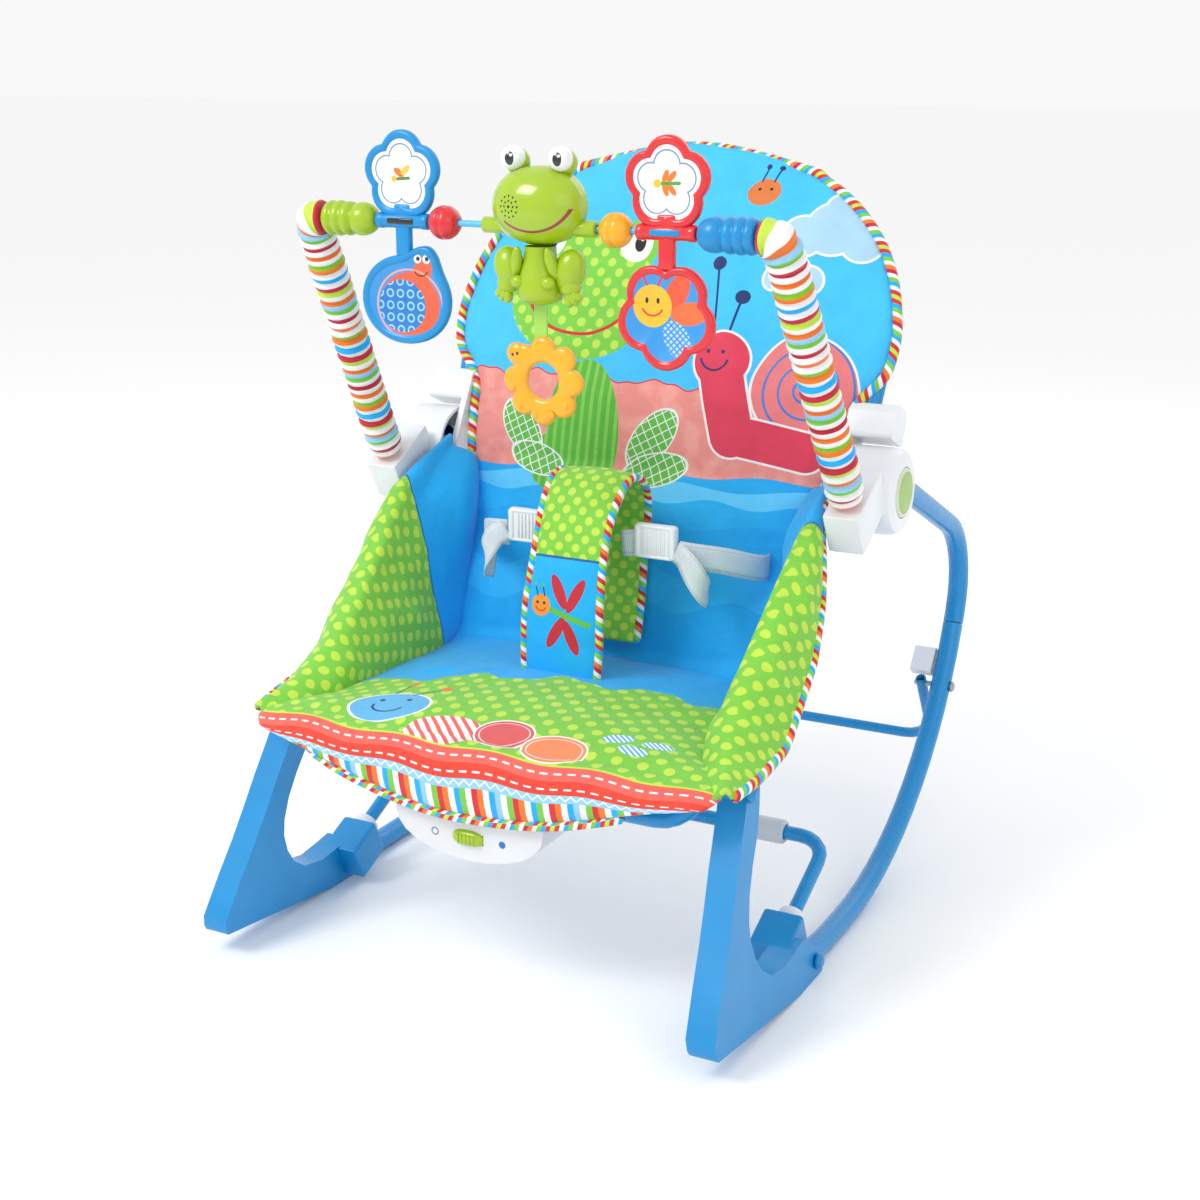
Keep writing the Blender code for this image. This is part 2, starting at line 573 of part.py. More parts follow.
# --- kickstand ----------------------------------------------------------------------------------
def make_kickstand():
    """U-shaped stand that swings on bolts through the lower rails, and its white stop pads."""
    kick_y, kick_z = rocker_point(KICK_SWEEP)
    outward = Vector((0, math.sin(KICK_SWEEP), -math.cos(KICK_SWEEP)))
    upward = Vector((0, math.cos(KICK_SWEEP), math.sin(KICK_SWEEP)))
    pivot = Vector((0, kick_y, kick_z))
    hang = Vector((0, math.sin(KICK_HANG), -math.cos(KICK_HANG)))
    foot = pivot + hang * KICK_REACH
    start = pivot - hang * 0.006
    corners = [Vector((-KICK_X, 0, 0)) + start, Vector((-KICK_X, 0, 0)) + foot,
               Vector((KICK_X, 0, 0)) + foot, Vector((KICK_X, 0, 0)) + start]
    stand = tube(filleted(corners, 0.030, math.radians(18)), KICK_R, KICK_WALL)
    stand = cut(stand, rod((-0.21, kick_y, kick_z), (0.21, kick_y, kick_z), KICK_SHANK + GAP / 2, 12))
    keep(stand, "kickstand_tube", BLUE, pivot)
    for side, sign in SIDES:
        # a wedge, thicker at its lower end
        b, t = pivot + upward * 0.0085, pivot + upward * 0.034
        outline = [(b - outward * 0.010), (b + outward * 0.007), (t + outward * 0.001), (t - outward * 0.008)]
        pad = plate([rounded_outline([(p.y, p.z) for p in outline], (0.003, 0.003, 0.003, 0.003))], 0.020,
                    at=sign * (RAIL_X - RAIL_R - 0.0105))
        keep(pad, f"{side}_kickstand_pad", WHITE)


# --- reclining back -----------------------------------------------------------------------------
def back_outline(inset, foot_s, foot_x, count=14):
    """(x, s) points of the back's arch, from the right foot over the top to the left foot."""
    arch = []
    for i in range(count + 1):
        t = math.pi * i / count
        c, s = math.cos(t), math.sin(t)
        # a slightly squared ellipse
        arch.append(((BACK_HALF_W - inset) * math.copysign(abs(c) ** 0.90, c),
                     BACK_SHOULDER + (BACK_RISE - inset) * abs(s) ** 0.90))
    return [(foot_x, foot_s)] + arch + [(-foot_x, foot_s)]


def make_back():
    """The back's arched tube, its padded panel and the white brackets that turn on the hubs."""
    path = [on_back(x, s) for x, s in back_outline(0.0, BACK_FOOT_S, BACK_FOOT_X)]
    keep(tube(path, BACK_R, BACK_WALL, sides=3), "back_tube", BLUE, (0, HUB_Y, HUB_Z))

    # the panel fills the arch, and is narrower at its foot, between the brackets
    arch = back_outline(BACK_R + 0.0010, BACK_FOOT_S, BACK_FOOT_X)[2:-2]
    panel_x = BRACKET_INNER - 0.002
    outline = [(panel_x, 0.012), (panel_x, 0.108), *arch, (-panel_x, 0.108), (-panel_x, 0.012)]
    panel = plate([outline], BACK_PANEL_THICK, plane="XZ")
    panel.data.transform(Matrix.Translation((0, HUB_Y, HUB_Z)) @ Matrix.Rotation(-BACK_TILT, 4, "X"))
    keep(panel, "back_panel", FABRIC_BLUE, (0, HUB_Y, HUB_Z))

    for side, sign in SIDES:
        arm_x = BRACKET_INNER + 0.00275
        half = 0.015
        rim = arc((0, 0), 0.020, math.radians(180), math.radians(360), 10)
        outline = rim + [(half, 0.060), (-half, 0.060)]
        arm = plate([outline], 0.0055)
        arm.data.transform(Matrix.Translation((sign * arm_x, HUB_Y, HUB_Z)) @ Matrix.Rotation(-BACK_TILT, 4, "X"))
        sleeve_outline = [(-0.0165, BRACKET_LOW), (0.0165, BRACKET_LOW), (0.0150, BRACKET_TOP - 0.008),
                          (0.0100, BRACKET_TOP), (-0.0100, BRACKET_TOP), (-0.0150, BRACKET_TOP - 0.008)]
        sleeve = plate([rounded_outline(sleeve_outline, (0.004,) * 6)], BRACKET_WIDE)
        sleeve.data.transform(Matrix.Translation((sign * BRACKET_X, HUB_Y, HUB_Z)) @ Matrix.Rotation(-BACK_TILT, 4, "X"))
        boss = rod((sign * (arm_x - 0.001), HUB_Y, HUB_Z), (sign * 0.215, HUB_Y, HUB_Z), 0.008)
        bracket = join(sleeve, arm, boss)
        low, top = back_outline(0.0, BACK_FOOT_S, BACK_FOOT_X)[0:2]
        low_point = on_back(sign * low[0], low[1])
        top_point = on_back(sign * top[0], top[1])
        arch = [on_back(sign * x, s) for x, s in back_outline(0.0, BACK_FOOT_S, BACK_FOOT_X)[1:4]]
        bore = tube([low_point - (top_point - low_point) * 0.05, *arch], BACK_R + GAP, sides=4)
        bracket = cut(bracket, bore)
        keep(bracket, f"{side}_back_bracket", WHITE, (sign * arm_x, HUB_Y, HUB_Z))


# --- soft seat ----------------------------------------------------------------------------------
def make_soft_seat():
    """Plain solids of the sewn cover: cushion with lower back and front flap, and the two side panels."""
    front = HOUSING_FRONT - 0.0065
    profile = [(front, 0.1960), (-0.246, 0.2070), (-0.225, 0.2115), (-0.100, 0.2150), (-0.030, 0.2110),
               (-0.014, 0.2130), (0.0410, 0.3560), (0.0555, 0.3510), (0.0030, 0.2080), (-0.012, 0.1960),
               (-0.100, 0.1990), (-0.235, 0.1880), (HOUSING_FRONT - GAP, 0.1850), (HOUSING_FRONT - GAP, 0.160),
               (front, 0.160)]
    keep(plate([profile], CUSHION_WIDTH), "seat_cushion", FABRIC_GREEN)

    low_z = 0.2180
    panel = [(-0.196, low_z), (-0.0125, low_z), (0.0345, 0.3450), (0.0300, 0.3700), (-0.0210, 0.3660)]
    for side, sign in SIDES:
        o = plate([rounded_outline(panel, (0.0, 0.0, 0.0, 0.008, 0.008))], PANEL_THICK, at=sign * PANEL_X)
        keep(leaned(o, -sign, PANEL_LEAN, low_z), f"{side}_side_panel", FABRIC_GREEN)


def make_harness():
    """Crotch pad, folded over at its top, with a buckle and a waist belt at each side."""
    fold = [(-0.101, 0.2185), (-0.095, 0.290), (-0.078, 0.345), (-0.058, 0.374), (-0.035, 0.3840),
            (-0.014, 0.372), (-0.006, 0.345), (-0.014, 0.290), (-0.030, 0.2400)]
    keep(plate([ribbon(fold, 0.009)], 0.070), "crotch_pad", FABRIC_BLUE)
    for side, sign in SIDES:
        buckle = block(BUCKLE_SIZE, (sign * BUCKLE_AT[0], *BUCKLE_AT[1:]), bevel=0.003)
        keep(buckle, f"{side}_buckle", WHITE)
        line = [(sign * 0.0805, -0.045), (sign * 0.095, -0.040), (sign * 0.115, -0.024), (sign * 0.128, -0.006),
                (sign * 0.134, 0.012)]
        belt = plate([ribbon(line, 0.0022)], 0.024, plane="XZ")
        # the outline was drawn in X and Y; it lies flat and is lifted to the belt's height
        belt.data.transform(Matrix.Translation((0, 0, 0.3230)) @ Matrix.Rotation(-math.pi / 2, 4, "X"))
        keep(belt, f"{side}_waist_belt", WEBBING)


# --- vibration unit -----------------------------------------------------------------------------
def half_moon(inset):
    """(x, z) outline of the vibration unit: flat on top with a bulging underside."""
    half, top, low = HOUSING_HALF_W - inset, HOUSING_TOP - inset, HOUSING_LOW + inset
    rim = HOUSING_TOP - HOUSING_RIM
    count = 12
    bulge = [(math.cos(math.pi * i / count), math.sin(math.pi * i / count)) for i in range(count + 1)]
    return [(half, top)] + [(half * c, rim - (rim - low) * s ** 0.85) for c, s in bulge] + [(-half, top)]


def make_vibration_unit():
    depth = HOUSING_BACK - HOUSING_FRONT
    middle = (HOUSING_FRONT + HOUSING_BACK) / 2
    shell = plate([half_moon(0.0)], depth, plane="XZ", at=middle)
    hollow = plate([half_moon(HOUSING_WALL)], depth, plane="XZ", at=middle + HOUSING_WALL)
    slot = block((0.021, 0.02, 0.0085), (SWITCH_TRAVEL / 2, HOUSING_FRONT, SWITCH_Z))
    keep(cut(shell, hollow, slot), "vibration_housing", GREY)
    door = plate([half_moon(0.0)], 0.0025, plane="XZ", at=HOUSING_BACK + 0.0025 / 2 + GAP)
    keep(door, "battery_door", GREY)
    cap = block((0.028, 0.0042, 0.0135), (0, HOUSING_FRONT - 0.0021 - GAP, SWITCH_Z), bevel=0.0018)
    stem = block((0.013, 0.010, 0.0072), (0, HOUSING_FRONT + 0.0015, SWITCH_Z))
    keep(join(cap, stem), "vibration_switch", GREEN, (0, HOUSING_FRONT, SWITCH_Z))
    cell = turned([(0, CELL_LENGTH), (0.0040, CELL_LENGTH), (0.0040, CELL_LENGTH - 0.0018),
                   (CELL_R - 0.0008, CELL_LENGTH - 0.0020), (CELL_R, CELL_LENGTH - 0.0030), (CELL_R, 0.0), (0, 0.0)],
                  (-0.0420, CELL_Y, CELL_Z), (1, 0, 0), 20)
    keep(cell, "battery", CELL)
    motor = turned([(0, 0.030), (0.010, 0.030), (0.0105, 0.028), (0.0105, 0.0), (0.0020, 0.0), (0.0020, -0.006),
                    (0, -0.006)], (0.0210, CELL_Y, CELL_Z), (1, 0, 0), 16)
    keep(motor, "vibration_motor", STEEL)


# --- toy bar ------------------------------------------------------------------------------------
def make_toy_arms():
    """Padded arms: a peg in the hub's socket, then up and inwards to the knob."""
    arm = Vector((0, -math.sin(TOY_LEAN), math.cos(TOY_LEAN)))
    for side, sign in SIDES:
        base = Vector((sign * ARM_X, *ARM_BASE))
        corners = [base + arm * 0.0008, base + arm * 0.012, (sign * ARM_CORNER_X, ROD_Y, ROD_Z),
                   (sign * (KNOB_OUT + GAP), ROD_Y, ROD_Z)]
        start = filleted(corners[:3], 0.030, math.radians(6))[:-1]
        top = filleted([start[-1], corners[2], corners[3]], 0.0125, math.radians(20))[1:]
        sleeve = tube(start + top, ARM_R, sides=4)
        peg = rod(base - arm * 0.024, base + arm * 0.004, PEG_R, 16)
        keep(join(sleeve, peg), f"{side}_toy_arm", FABRIC_STRIPE)


def make_knobs():
    length = KNOB_OUT - KNOB_IN
    profile = [(0, length), (0.0118, length), (0.0138, length - 0.003), (0.0138, length - 0.008),
               (0.0125, length - 0.010), (KNOB_R, length - 0.012), (KNOB_R, length - 0.017), (0.0125, length - 0.019),
               (0.0138, length - 0.021), (0.0132, length - 0.025), (0.0110, length - 0.027),
               (0.0128, 0.0165), (0.0132, 0.0120), (0.0120, 0.0060), (0.0085, 0.0015), (0.0060, 0.0),
               (ROD_R + ROD_CLEAR, 0.0), (ROD_R + ROD_CLEAR, 0.011), (0, 0.011)]
    for side, sign in SIDES:
        knob = turned(profile, (sign * KNOB_IN, ROD_Y, ROD_Z), (sign, 0, 0), 16)
        keep(knob, f"{side}_knob", GREEN if sign < 0 else BLUE)


def spinner(name, sign, look, plate_outline):
    """A plate that spins on the rod: a cloud above, a tube with a window, and a shaped plate below."""
    centre = sign * SPINNER_X
    cloud = plate([lobed((centre, ROD_Z + 0.0345), 0.0255, 0.0085, 5, 35, math.pi / 2)], SPINNER_THICK, plane="XZ",
                  at=ROD_Y)
    lower = plate([plate_outline], SPINNER_THICK, plane="XZ", at=ROD_Y)
    stem = block((0.012, SPINNER_THICK, 0.034), (centre, ROD_Y, ROD_Z - 0.0120))
    low_x, high_x = KNOB_IN - 0.0010, 0.0890
    barrel = rod((sign * high_x, ROD_Y, ROD_Z), (sign * low_x, ROD_Y, ROD_Z), 0.0058, 16)
    bore = rod((sign * (high_x - 0.01), ROD_Y, ROD_Z), (sign * (low_x + 0.01), ROD_Y, ROD_Z), ROD_R + ROD_CLEAR, 12)
    o = cut(join(barrel, cloud, lower, stem), bore)
    keep(o, name, look, (centre, ROD_Y, ROD_Z))


def snail_outline(centre, count=30):
    """A rounded plate with one bump, where the printed snail's eyes are."""
    out = []
    for i in range(count):
        t = 2 * math.pi * i / count
        bump = 0.011 * math.exp(-((math.degrees(t) - 62) / 20) ** 2)
        r = 0.0375 + bump + 0.003 * math.cos(2 * t)
        out.append((centre[0] + r * math.cos(t), centre[1] + r * math.sin(t)))
    return out


def make_spinners():
    spinner("left_spinner", -1, BLUE, snail_outline((-SPINNER_X + 0.001, ROD_Z - 0.0605)))
    flower = lobed((SPINNER_X, ROD_Z - 0.0600), 0.0315, 0.0095, 5, 35, math.radians(126))
    spinner("right_spinner", 1, RED, flower)


def make_beads():
    hole = ROD_R + ROD_CLEAR
    turn = math.asin(hole / BEAD_R)
    profile = arc((0, 0), BEAD_R, math.pi / 2 - turn, turn - math.pi / 2, 7)
    for name, x, look in (("red_bead", RED_BEAD_X, RED), ("yellow_bead", YELLOW_BEAD_X, YELLOW)):
        bead = turned(profile, (x, ROD_Y, ROD_Z), (1, 0, 0), 14)
        keep(bead, name, look, (x, ROD_Y, ROD_Z))


def make_rod():
    reach = KNOB_IN + 0.0105
    keep(tube([(-reach, ROD_Y, ROD_Z), (0, ROD_Y, ROD_Z), (reach, ROD_Y, ROD_Z)], ROD_R, sides=2), "toy_rod", BLUE)


def frog_shell(side):
    """Half of the hollow head, in front of the rod (side -1) or behind it (side 1)."""
    centre = (FROG_X, ROD_Y, ROD_Z + HEAD_UP)
    shell = ball(centre, HEAD)
    cavity = ball(centre, [r - HEAD_WALL for r in HEAD])
    other_half = block((0.2, 0.1, 0.2), (FROG_X, ROD_Y - side * (0.05 - SPLIT), ROD_Z))
    return cut(shell, other_half, cavity)


def frog_stubs(grow=0.0):
    """The two stubs that carry the head on the rod; grow makes them larger all round, as a clearance."""
    ends = ((-0.0410 - grow, -0.0190 + grow), (0.0350 - grow, 0.0560 + grow))
    return [rod((a, ROD_Y, ROD_Z), (b, ROD_Y, ROD_Z), STUB_R + grow, 14) for a, b in ends]


def frog_eyes(radius):
    return [ball((FROG_X + side * EYE_OUT, ROD_Y - 0.0040, ROD_Z + EYE_UP), (radius,) * 3, 0, 6, 10)
            for side in (-1, 1)]


def make_frog():
    """The sound toy: a hollow head in two shells, a sound module inside, and the body below."""
    bores = [rod((-0.07, ROD_Y, ROD_Z), (0.08, ROD_Y, ROD_Z), ROD_R + ROD_CLEAR, 12) for _ in range(2)]
    keep(cut(join(frog_shell(-1), *frog_eyes(EYE_R), *frog_stubs()), bores[0]), "frog_head", GREEN)
    keep(cut(frog_shell(1), *frog_eyes(EYE_R + GAP), *frog_stubs(GAP), bores[1]), "frog_back", GREEN)
    module = block((0.034, 0.024, 0.022), (FROG_X, ROD_Y, ROD_Z + 0.0200), bevel=0.002)
    keep(module, "sound_module", GREY)

    body = rod((FROG_X, ROD_Y, BODY_TOP), (FROG_X, ROD_Y, BODY_LOW), 0.0120, 14, 0.0180)
    limbs = []
    for side in (-1, 1):
        limbs.append(ball((FROG_X + side * 0.0270, ROD_Y, ROD_Z - 0.0300), (0.0145, 0.0110, 0.0150), 0, 6, 10))
        limbs.append(ball((FROG_X + side * 0.0290, ROD_Y - 0.002, ROD_Z - 0.0480), (0.0135, 0.0100, 0.0085),
                          side * 0.3, 6, 10))
    slot = block((STRAP_W + 2 * STRAP_CLEAR, STRAP_T + 2 * STRAP_CLEAR, 0.044), (FROG_X, ROD_Y, BODY_LOW + 0.0200))
    keep(cut(join(body, *limbs), slot), "frog_body", GREEN)


def make_pull_toy():
    """The strap that is pulled out of the frog's body, and the teether that swings on its end."""
    middle = (STRAP_TOP + STRAP_LOW) / 2
    strap = block((STRAP_W, STRAP_T, STRAP_TOP - STRAP_LOW), (FROG_X, ROD_Y, middle), bevel=0.0005)
    keep(strap, "pull_strap", GREEN, (FROG_X, ROD_Y, STRAP_TOP))
    centre = (FROG_X + 0.0020, RING_PIVOT - 0.0285)
    ring = plate([lobed(centre, 0.0290, 0.0060, 8, 48), circle(centre, 0.0135, 16)], 0.0100, plane="XZ", at=ROD_Y)
    notch = block((STRAP_W + 0.0014, 0.03, 0.0200), (FROG_X, ROD_Y, RING_PIVOT + 0.0045))
    keep(cut(ring, notch), "teether", YELLOW, (FROG_X, ROD_Y, RING_PIVOT))


# --- build --------------------------------------------------------------------------------------
clear_scene()
PARTS = new_collection("bouncer_seat")
make_feet()
make_rails()
make_hubs()
make_buttons()
make_seat_tube()
make_brace()
make_bolts()
make_kickstand()
make_back()
make_soft_seat()
make_harness()
make_vibration_unit()
make_toy_arms()
make_knobs()
make_spinners()
make_beads()
make_rod()
make_frog()
make_pull_toy()

# everything is set down on the floor, with the origin on the floor too
for piece in PARTS.objects:
    if piece.location.length:
        piece.location.z -= FLOOR_Z
    else:
        piece.data.transform(Matrix.Translation((0.0, 0.0, -FLOOR_Z)))
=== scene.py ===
"""Looks of the bouncer seat: printed padded cover, piping, moulded plastics and painted tubes."""
import math

import bmesh
import bpy
import numpy as np
from mathutils import Matrix, Vector, noise


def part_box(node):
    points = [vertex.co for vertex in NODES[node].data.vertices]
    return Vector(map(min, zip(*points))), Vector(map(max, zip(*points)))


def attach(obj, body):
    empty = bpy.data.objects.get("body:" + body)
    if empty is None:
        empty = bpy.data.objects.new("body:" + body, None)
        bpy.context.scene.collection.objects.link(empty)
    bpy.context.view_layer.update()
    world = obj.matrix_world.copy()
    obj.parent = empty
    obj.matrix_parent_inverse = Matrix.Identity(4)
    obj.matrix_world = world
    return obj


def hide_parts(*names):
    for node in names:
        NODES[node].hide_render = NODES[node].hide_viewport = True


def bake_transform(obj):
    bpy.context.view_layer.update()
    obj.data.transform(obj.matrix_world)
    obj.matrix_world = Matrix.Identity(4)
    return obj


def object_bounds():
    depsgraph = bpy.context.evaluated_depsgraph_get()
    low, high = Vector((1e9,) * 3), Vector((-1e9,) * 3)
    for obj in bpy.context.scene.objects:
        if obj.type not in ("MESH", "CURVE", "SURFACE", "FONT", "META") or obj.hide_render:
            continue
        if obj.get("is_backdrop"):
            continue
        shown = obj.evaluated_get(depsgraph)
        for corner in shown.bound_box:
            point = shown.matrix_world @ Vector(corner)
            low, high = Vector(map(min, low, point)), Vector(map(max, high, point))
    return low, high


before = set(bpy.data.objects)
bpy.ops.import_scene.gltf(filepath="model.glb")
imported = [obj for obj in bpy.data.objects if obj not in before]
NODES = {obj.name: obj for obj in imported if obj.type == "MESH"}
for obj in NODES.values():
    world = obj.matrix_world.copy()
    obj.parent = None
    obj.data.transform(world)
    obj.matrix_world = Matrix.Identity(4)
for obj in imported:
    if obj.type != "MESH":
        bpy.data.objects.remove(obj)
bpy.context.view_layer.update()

# --- measures, in metres ---
HUB_Y, HUB_Z = 0.055, 0.365
TILT = math.radians(23.5)
ROD_Y, ROD_Z = -0.142, 0.584
FROG_X = 0.008
TOY_LEAN = math.radians(29)
ARM_X, ARM_CORNER_X, KNOB_X, SPIN_X = 0.2138, 0.2000, 0.138, 0.113
PLATE_UP, PLATE_DOWN, FLOWER_DOWN = 0.0345, 0.0605, 0.0600   # plate centres above and below the rod
COVER_OUT = 0.0115           # the cover's face in front of the arch
FLAP_FOLD_Y = -0.2350        # seam across the seat floor
PAD_SEAM = 0.1035            # seam of the crotch pad, along it
COVER_SWELL, COVER_PRESSURE, PAD_SWELL = 0.0090, 9.0, 0.0030
BUTTON_RIM = 0.0172
SIDES = (("left", -1), ("right", 1))


# --- colours ---
def srgb(r, g, b):
    return tuple(((c / 255 + 0.055) / 1.055) ** 2.4 * 0.90 for c in (r, g, b))


SKY = (0.045, 0.50, 0.96)
SEAT_BLUE = (0.003, 0.385, 0.86)
PALE_BLUE = srgb(150, 208, 248)
GREEN = srgb(126, 204, 66)
TOY_GREEN = (0.33, 0.50, 0.006)
DOT = srgb(196, 228, 76)
LIME = srgb(140, 200, 40)
PINK = srgb(242, 148, 142)
CORAL = srgb(240, 100, 88)
RED = srgb(222, 40, 44)
CRIMSON = srgb(200, 30, 62)
ORANGE = srgb(244, 124, 34)
YELLOW = srgb(250, 196, 46)
WHITE = srgb(244, 246, 248)
NAVY = srgb(26, 50, 110)
FRAME_BLUE = (0.0, 0.245, 0.58)
BLACK = srgb(18, 18, 22)


# --- materials ---
class Paint:
    """A material whose colour is laid on in flat coordinates, layer over layer."""

    def __init__(self, name, ground, rough=0.5, coords="UV", **sockets):
        self.material = bpy.data.materials.new(name)
        self.material.use_nodes = True
        self.tree = self.material.node_tree
        self.shader = self.tree.nodes["Principled BSDF"]
        self.colour = (*ground, 1.0)
        self.shader.inputs["Roughness"].default_value = rough
        for key, value in sockets.items():
            self.shader.inputs[key.replace("_", " ")].default_value = value
        source = self.tree.nodes.new("ShaderNodeTexCoord")
        self.solid = source.outputs["Object"]
        self.place = source.outputs["UV" if coords == "UV" else "Object"]
        self.x, self.y, self.z = self.node("ShaderNodeSeparateXYZ", [self.place]).outputs
        if coords == "XZ":
            self.place = self.node("ShaderNodeCombineXYZ", [self.x, self.z]).outputs[0]
            self.depth, self.y = self.y, self.z

    def put(self, value, socket):
        if isinstance(value, bpy.types.NodeSocket):
            self.tree.links.new(value, socket)
        elif value is not None:
            socket.default_value = value

    def node(self, kind, values=(), **settings):
        n = self.tree.nodes.new(kind)
        for key, value in settings.items():
            setattr(n, key, value)
        for i, value in enumerate(values):
            self.put(value, n.inputs[i])
        return n

    def math(self, op, a, b=0.0, c=0.0):
        return self.node("ShaderNodeMath", (a, b, c), operation=op).outputs[0]

    def vector(self, op, a, b=(0, 0, 0)):
        n = self.node("ShaderNodeVectorMath", (a, b), operation=op)
        return n.outputs["Value" if op in ("LENGTH", "DISTANCE") else "Vector"]

    def less(self, a, b):
        return self.math("LESS_THAN", a, b)

    def both(self, a, b):
        return self.math("MULTIPLY", a, b)

    def either(self, *masks):
        out = masks[0]
        for m in masks[1:]:
            out = self.math("MAXIMUM", out, m)
        return out

    def local(self, at, size=(1, 1), turn=0.0):
        return self.node("ShaderNodeMapping", (self.place, (*at, 0), (0, 0, math.radians(turn)), (*size, 1)),
                         vector_type="TEXTURE").outputs[0]

    def disc(self, at, r):
        return self.less(self.vector("DISTANCE", self.place, (*at, 0)), r)

    def ellipse(self, at, size, turn=0.0):
        return self.less(self.vector("LENGTH", self.local(at, size, turn)), 1.0)

    def ring(self, at, size, width, turn=0.0):
        far = self.vector("LENGTH", self.local(at, size, turn))
        return self.math("COMPARE", far, 1.0, width / 2 / min(size))

    def stroke(self, a, b, r):
        turn = math.degrees(math.atan2(b[1] - a[1], b[0] - a[0]))
        q = self.local(a, (1, 1), turn)
        near = self.vector("MINIMUM", self.vector("MAXIMUM", q, (0, 0, 0)), (math.dist(a, b), 0, 0))
        return self.less(self.vector("DISTANCE", q, near), r)

    def band(self, value, low, high):
        return self.math("COMPARE", value, (low + high) / 2, (high - low) / 2)

    def wave(self, value, pitch, height, shift=0.0):
        turned = self.math("MULTIPLY_ADD", value, 2 * math.pi / pitch, shift)
        return self.math("MULTIPLY", self.math("SINE", turned), height)

    def turns(self, value, period):
        """How far through its period a value is, from 0 to 1."""
        return self.math("FRACT", self.math("DIVIDE", value, period))

    def ribs(self, value, pitch):
        return self.math("SINE", self.math("MULTIPLY", value, 2 * math.pi / pitch))

    def ranged(self, value, *limits):
        return self.node("ShaderNodeMapRange", (value, *limits)).outputs[0]

    def dots(self, pitch, r):
        q = self.vector("MULTIPLY", self.place, (1 / pitch, 1 / pitch, 0))
        out = []
        for shift in (0.0, 0.5):
            cell = self.vector("FRACTION", self.vector("ADD", q, (shift, shift, 0)))
            out.append(self.less(self.vector("DISTANCE", cell, (0.5, 0.5, 0)), r / pitch))
        return self.either(*out)

    def grid(self, pitch, width, turn=45.0):
        q = self.local((0, 0), (pitch, pitch), turn)
        a, b, _ = self.node("ShaderNodeSeparateXYZ", [self.vector("FRACTION", q)]).outputs
        return self.either(self.less(a, width / pitch), self.less(b, width / pitch))

    def over(self, mask, colour, share=1.0):
        n = self.node("ShaderNodeMix", data_type="RGBA")
        if share < 1.0:
            mask = self.math("MULTIPLY", mask, share)
        self.put(mask, n.inputs[0])
        self.put(self.colour, n.inputs[6])
        self.put(colour if isinstance(colour, bpy.types.NodeSocket) else (*colour, 1.0), n.inputs[7])
        self.colour = n.outputs[2]

    def stripes(self, value, period, colours):
        ramp = self.node("ShaderNodeValToRGB", [self.turns(value, period)])
        ramp.color_ramp.interpolation = "CONSTANT"
        points = ramp.color_ramp.elements
        while len(points) < len(colours):
            points.new(0.5)
        for i, colour in enumerate(colours):
            points[i].position = i / len(colours)
            points[i].color = (*colour, 1.0)
        return ramp.outputs[0]

    def noise(self, scale, detail=2.0, where=None):
        n = self.node("ShaderNodeTexNoise")
        self.put(self.solid if where is None else where, n.inputs["Vector"])
        n.inputs["Scale"].default_value = scale
        n.inputs["Detail"].default_value = detail
        return n.outputs[0]

    def shade(self, value, low, high):
        """Darkens and lightens the colour by a value from 0 to 1."""
        factor = self.ranged(value, 0.25, 0.75, low, high)
        tint = self.node("ShaderNodeCombineColor", (factor, factor, factor)).outputs[0]
        n = self.node("ShaderNodeMix", data_type="RGBA", blend_type="MULTIPLY")
        n.inputs[0].default_value = 1.0
        self.put(self.colour, n.inputs[6])
        self.put(tint, n.inputs[7])
        self.colour = n.outputs[2]

    def done(self, heights=()):
        self.put(self.colour, self.shader.inputs["Base Color"])
        normal = None
        for height, distance, strength in heights:
            n = self.node("ShaderNodeBump")
            n.inputs["Strength"].default_value = strength
            n.inputs["Distance"].default_value = distance
            self.put(height, n.inputs["Height"])
            if normal is not None:
                self.put(normal, n.inputs["Normal"])
            normal = n.outputs[0]
        if normal is not None:
            self.put(normal, self.shader.inputs["Normal"])
        return self.material

    def cloth(self, crease=0.0012):
        """Woven polyester: fine threads, soft creases, uneven dye, and painted shade of folds."""
        # painted shade: soft darker and lighter patches in the colour, partly uneven dye and partly painted shade of
        # folds
        self.shade(self.noise(46, 3), 0.93, 1.05)
        u = self.ribs(self.x, 0.0011)
        v = self.ribs(self.y, 0.0011)
        weave = self.math("MULTIPLY", u, v)
        fold = self.noise(34, 3)
        fine = self.noise(130, 2)
        rough = self.ranged(fine, 0.2, 0.8, 0.55, 0.72)
        self.put(rough, self.shader.inputs["Roughness"])
        return self.done(((fold, crease * 4, 0.55), (fine, crease, 0.25), (weave, 0.00012, 0.35)))


def fabric(name, ground, coords="UV"):
    return Paint(name, ground, 0.65, coords, Sheen_Weight=0.25, Sheen_Roughness=0.45, Specular_IOR_Level=0.35)


def plastic(name, colour, rough=0.28, grain=0.00005, coat=0.25):
    """Moulded plastic: faint flow marks, fine grain, patches polished by handling."""
    p = Paint(name, colour, rough, "Object", Coat_Weight=coat, Coat_Roughness=0.12)
    p.shade(p.noise(28, 3), 0.94, 1.05)
    fine = p.noise(900, 1)
    worn = p.ranged(p.noise(16, 4), 0.3, 0.7, rough * 0.85, rough * 1.2)
    p.put(worn, p.shader.inputs["Roughness"])
    return p.done(((p.noise(22, 2), 0.0008, 0.12), (fine, grain, 0.3)))


def painted(name, colour):
    """Powder-coated steel tube: a faint orange peel under a clear gloss."""
    p = Paint(name, colour, 0.3, "Object", Coat_Weight=0.2, Coat_Roughness=0.1, Specular_IOR_Level=0.4)
    p.shade(p.noise(20, 3), 0.95, 1.05)
    speck = p.ranged(p.noise(160, 3), 0.3, 0.7, 0.24, 0.36)
    p.put(speck, p.shader.inputs["Roughness"])
    return p.done(((p.noise(1100, 1), 0.00004, 0.12),))


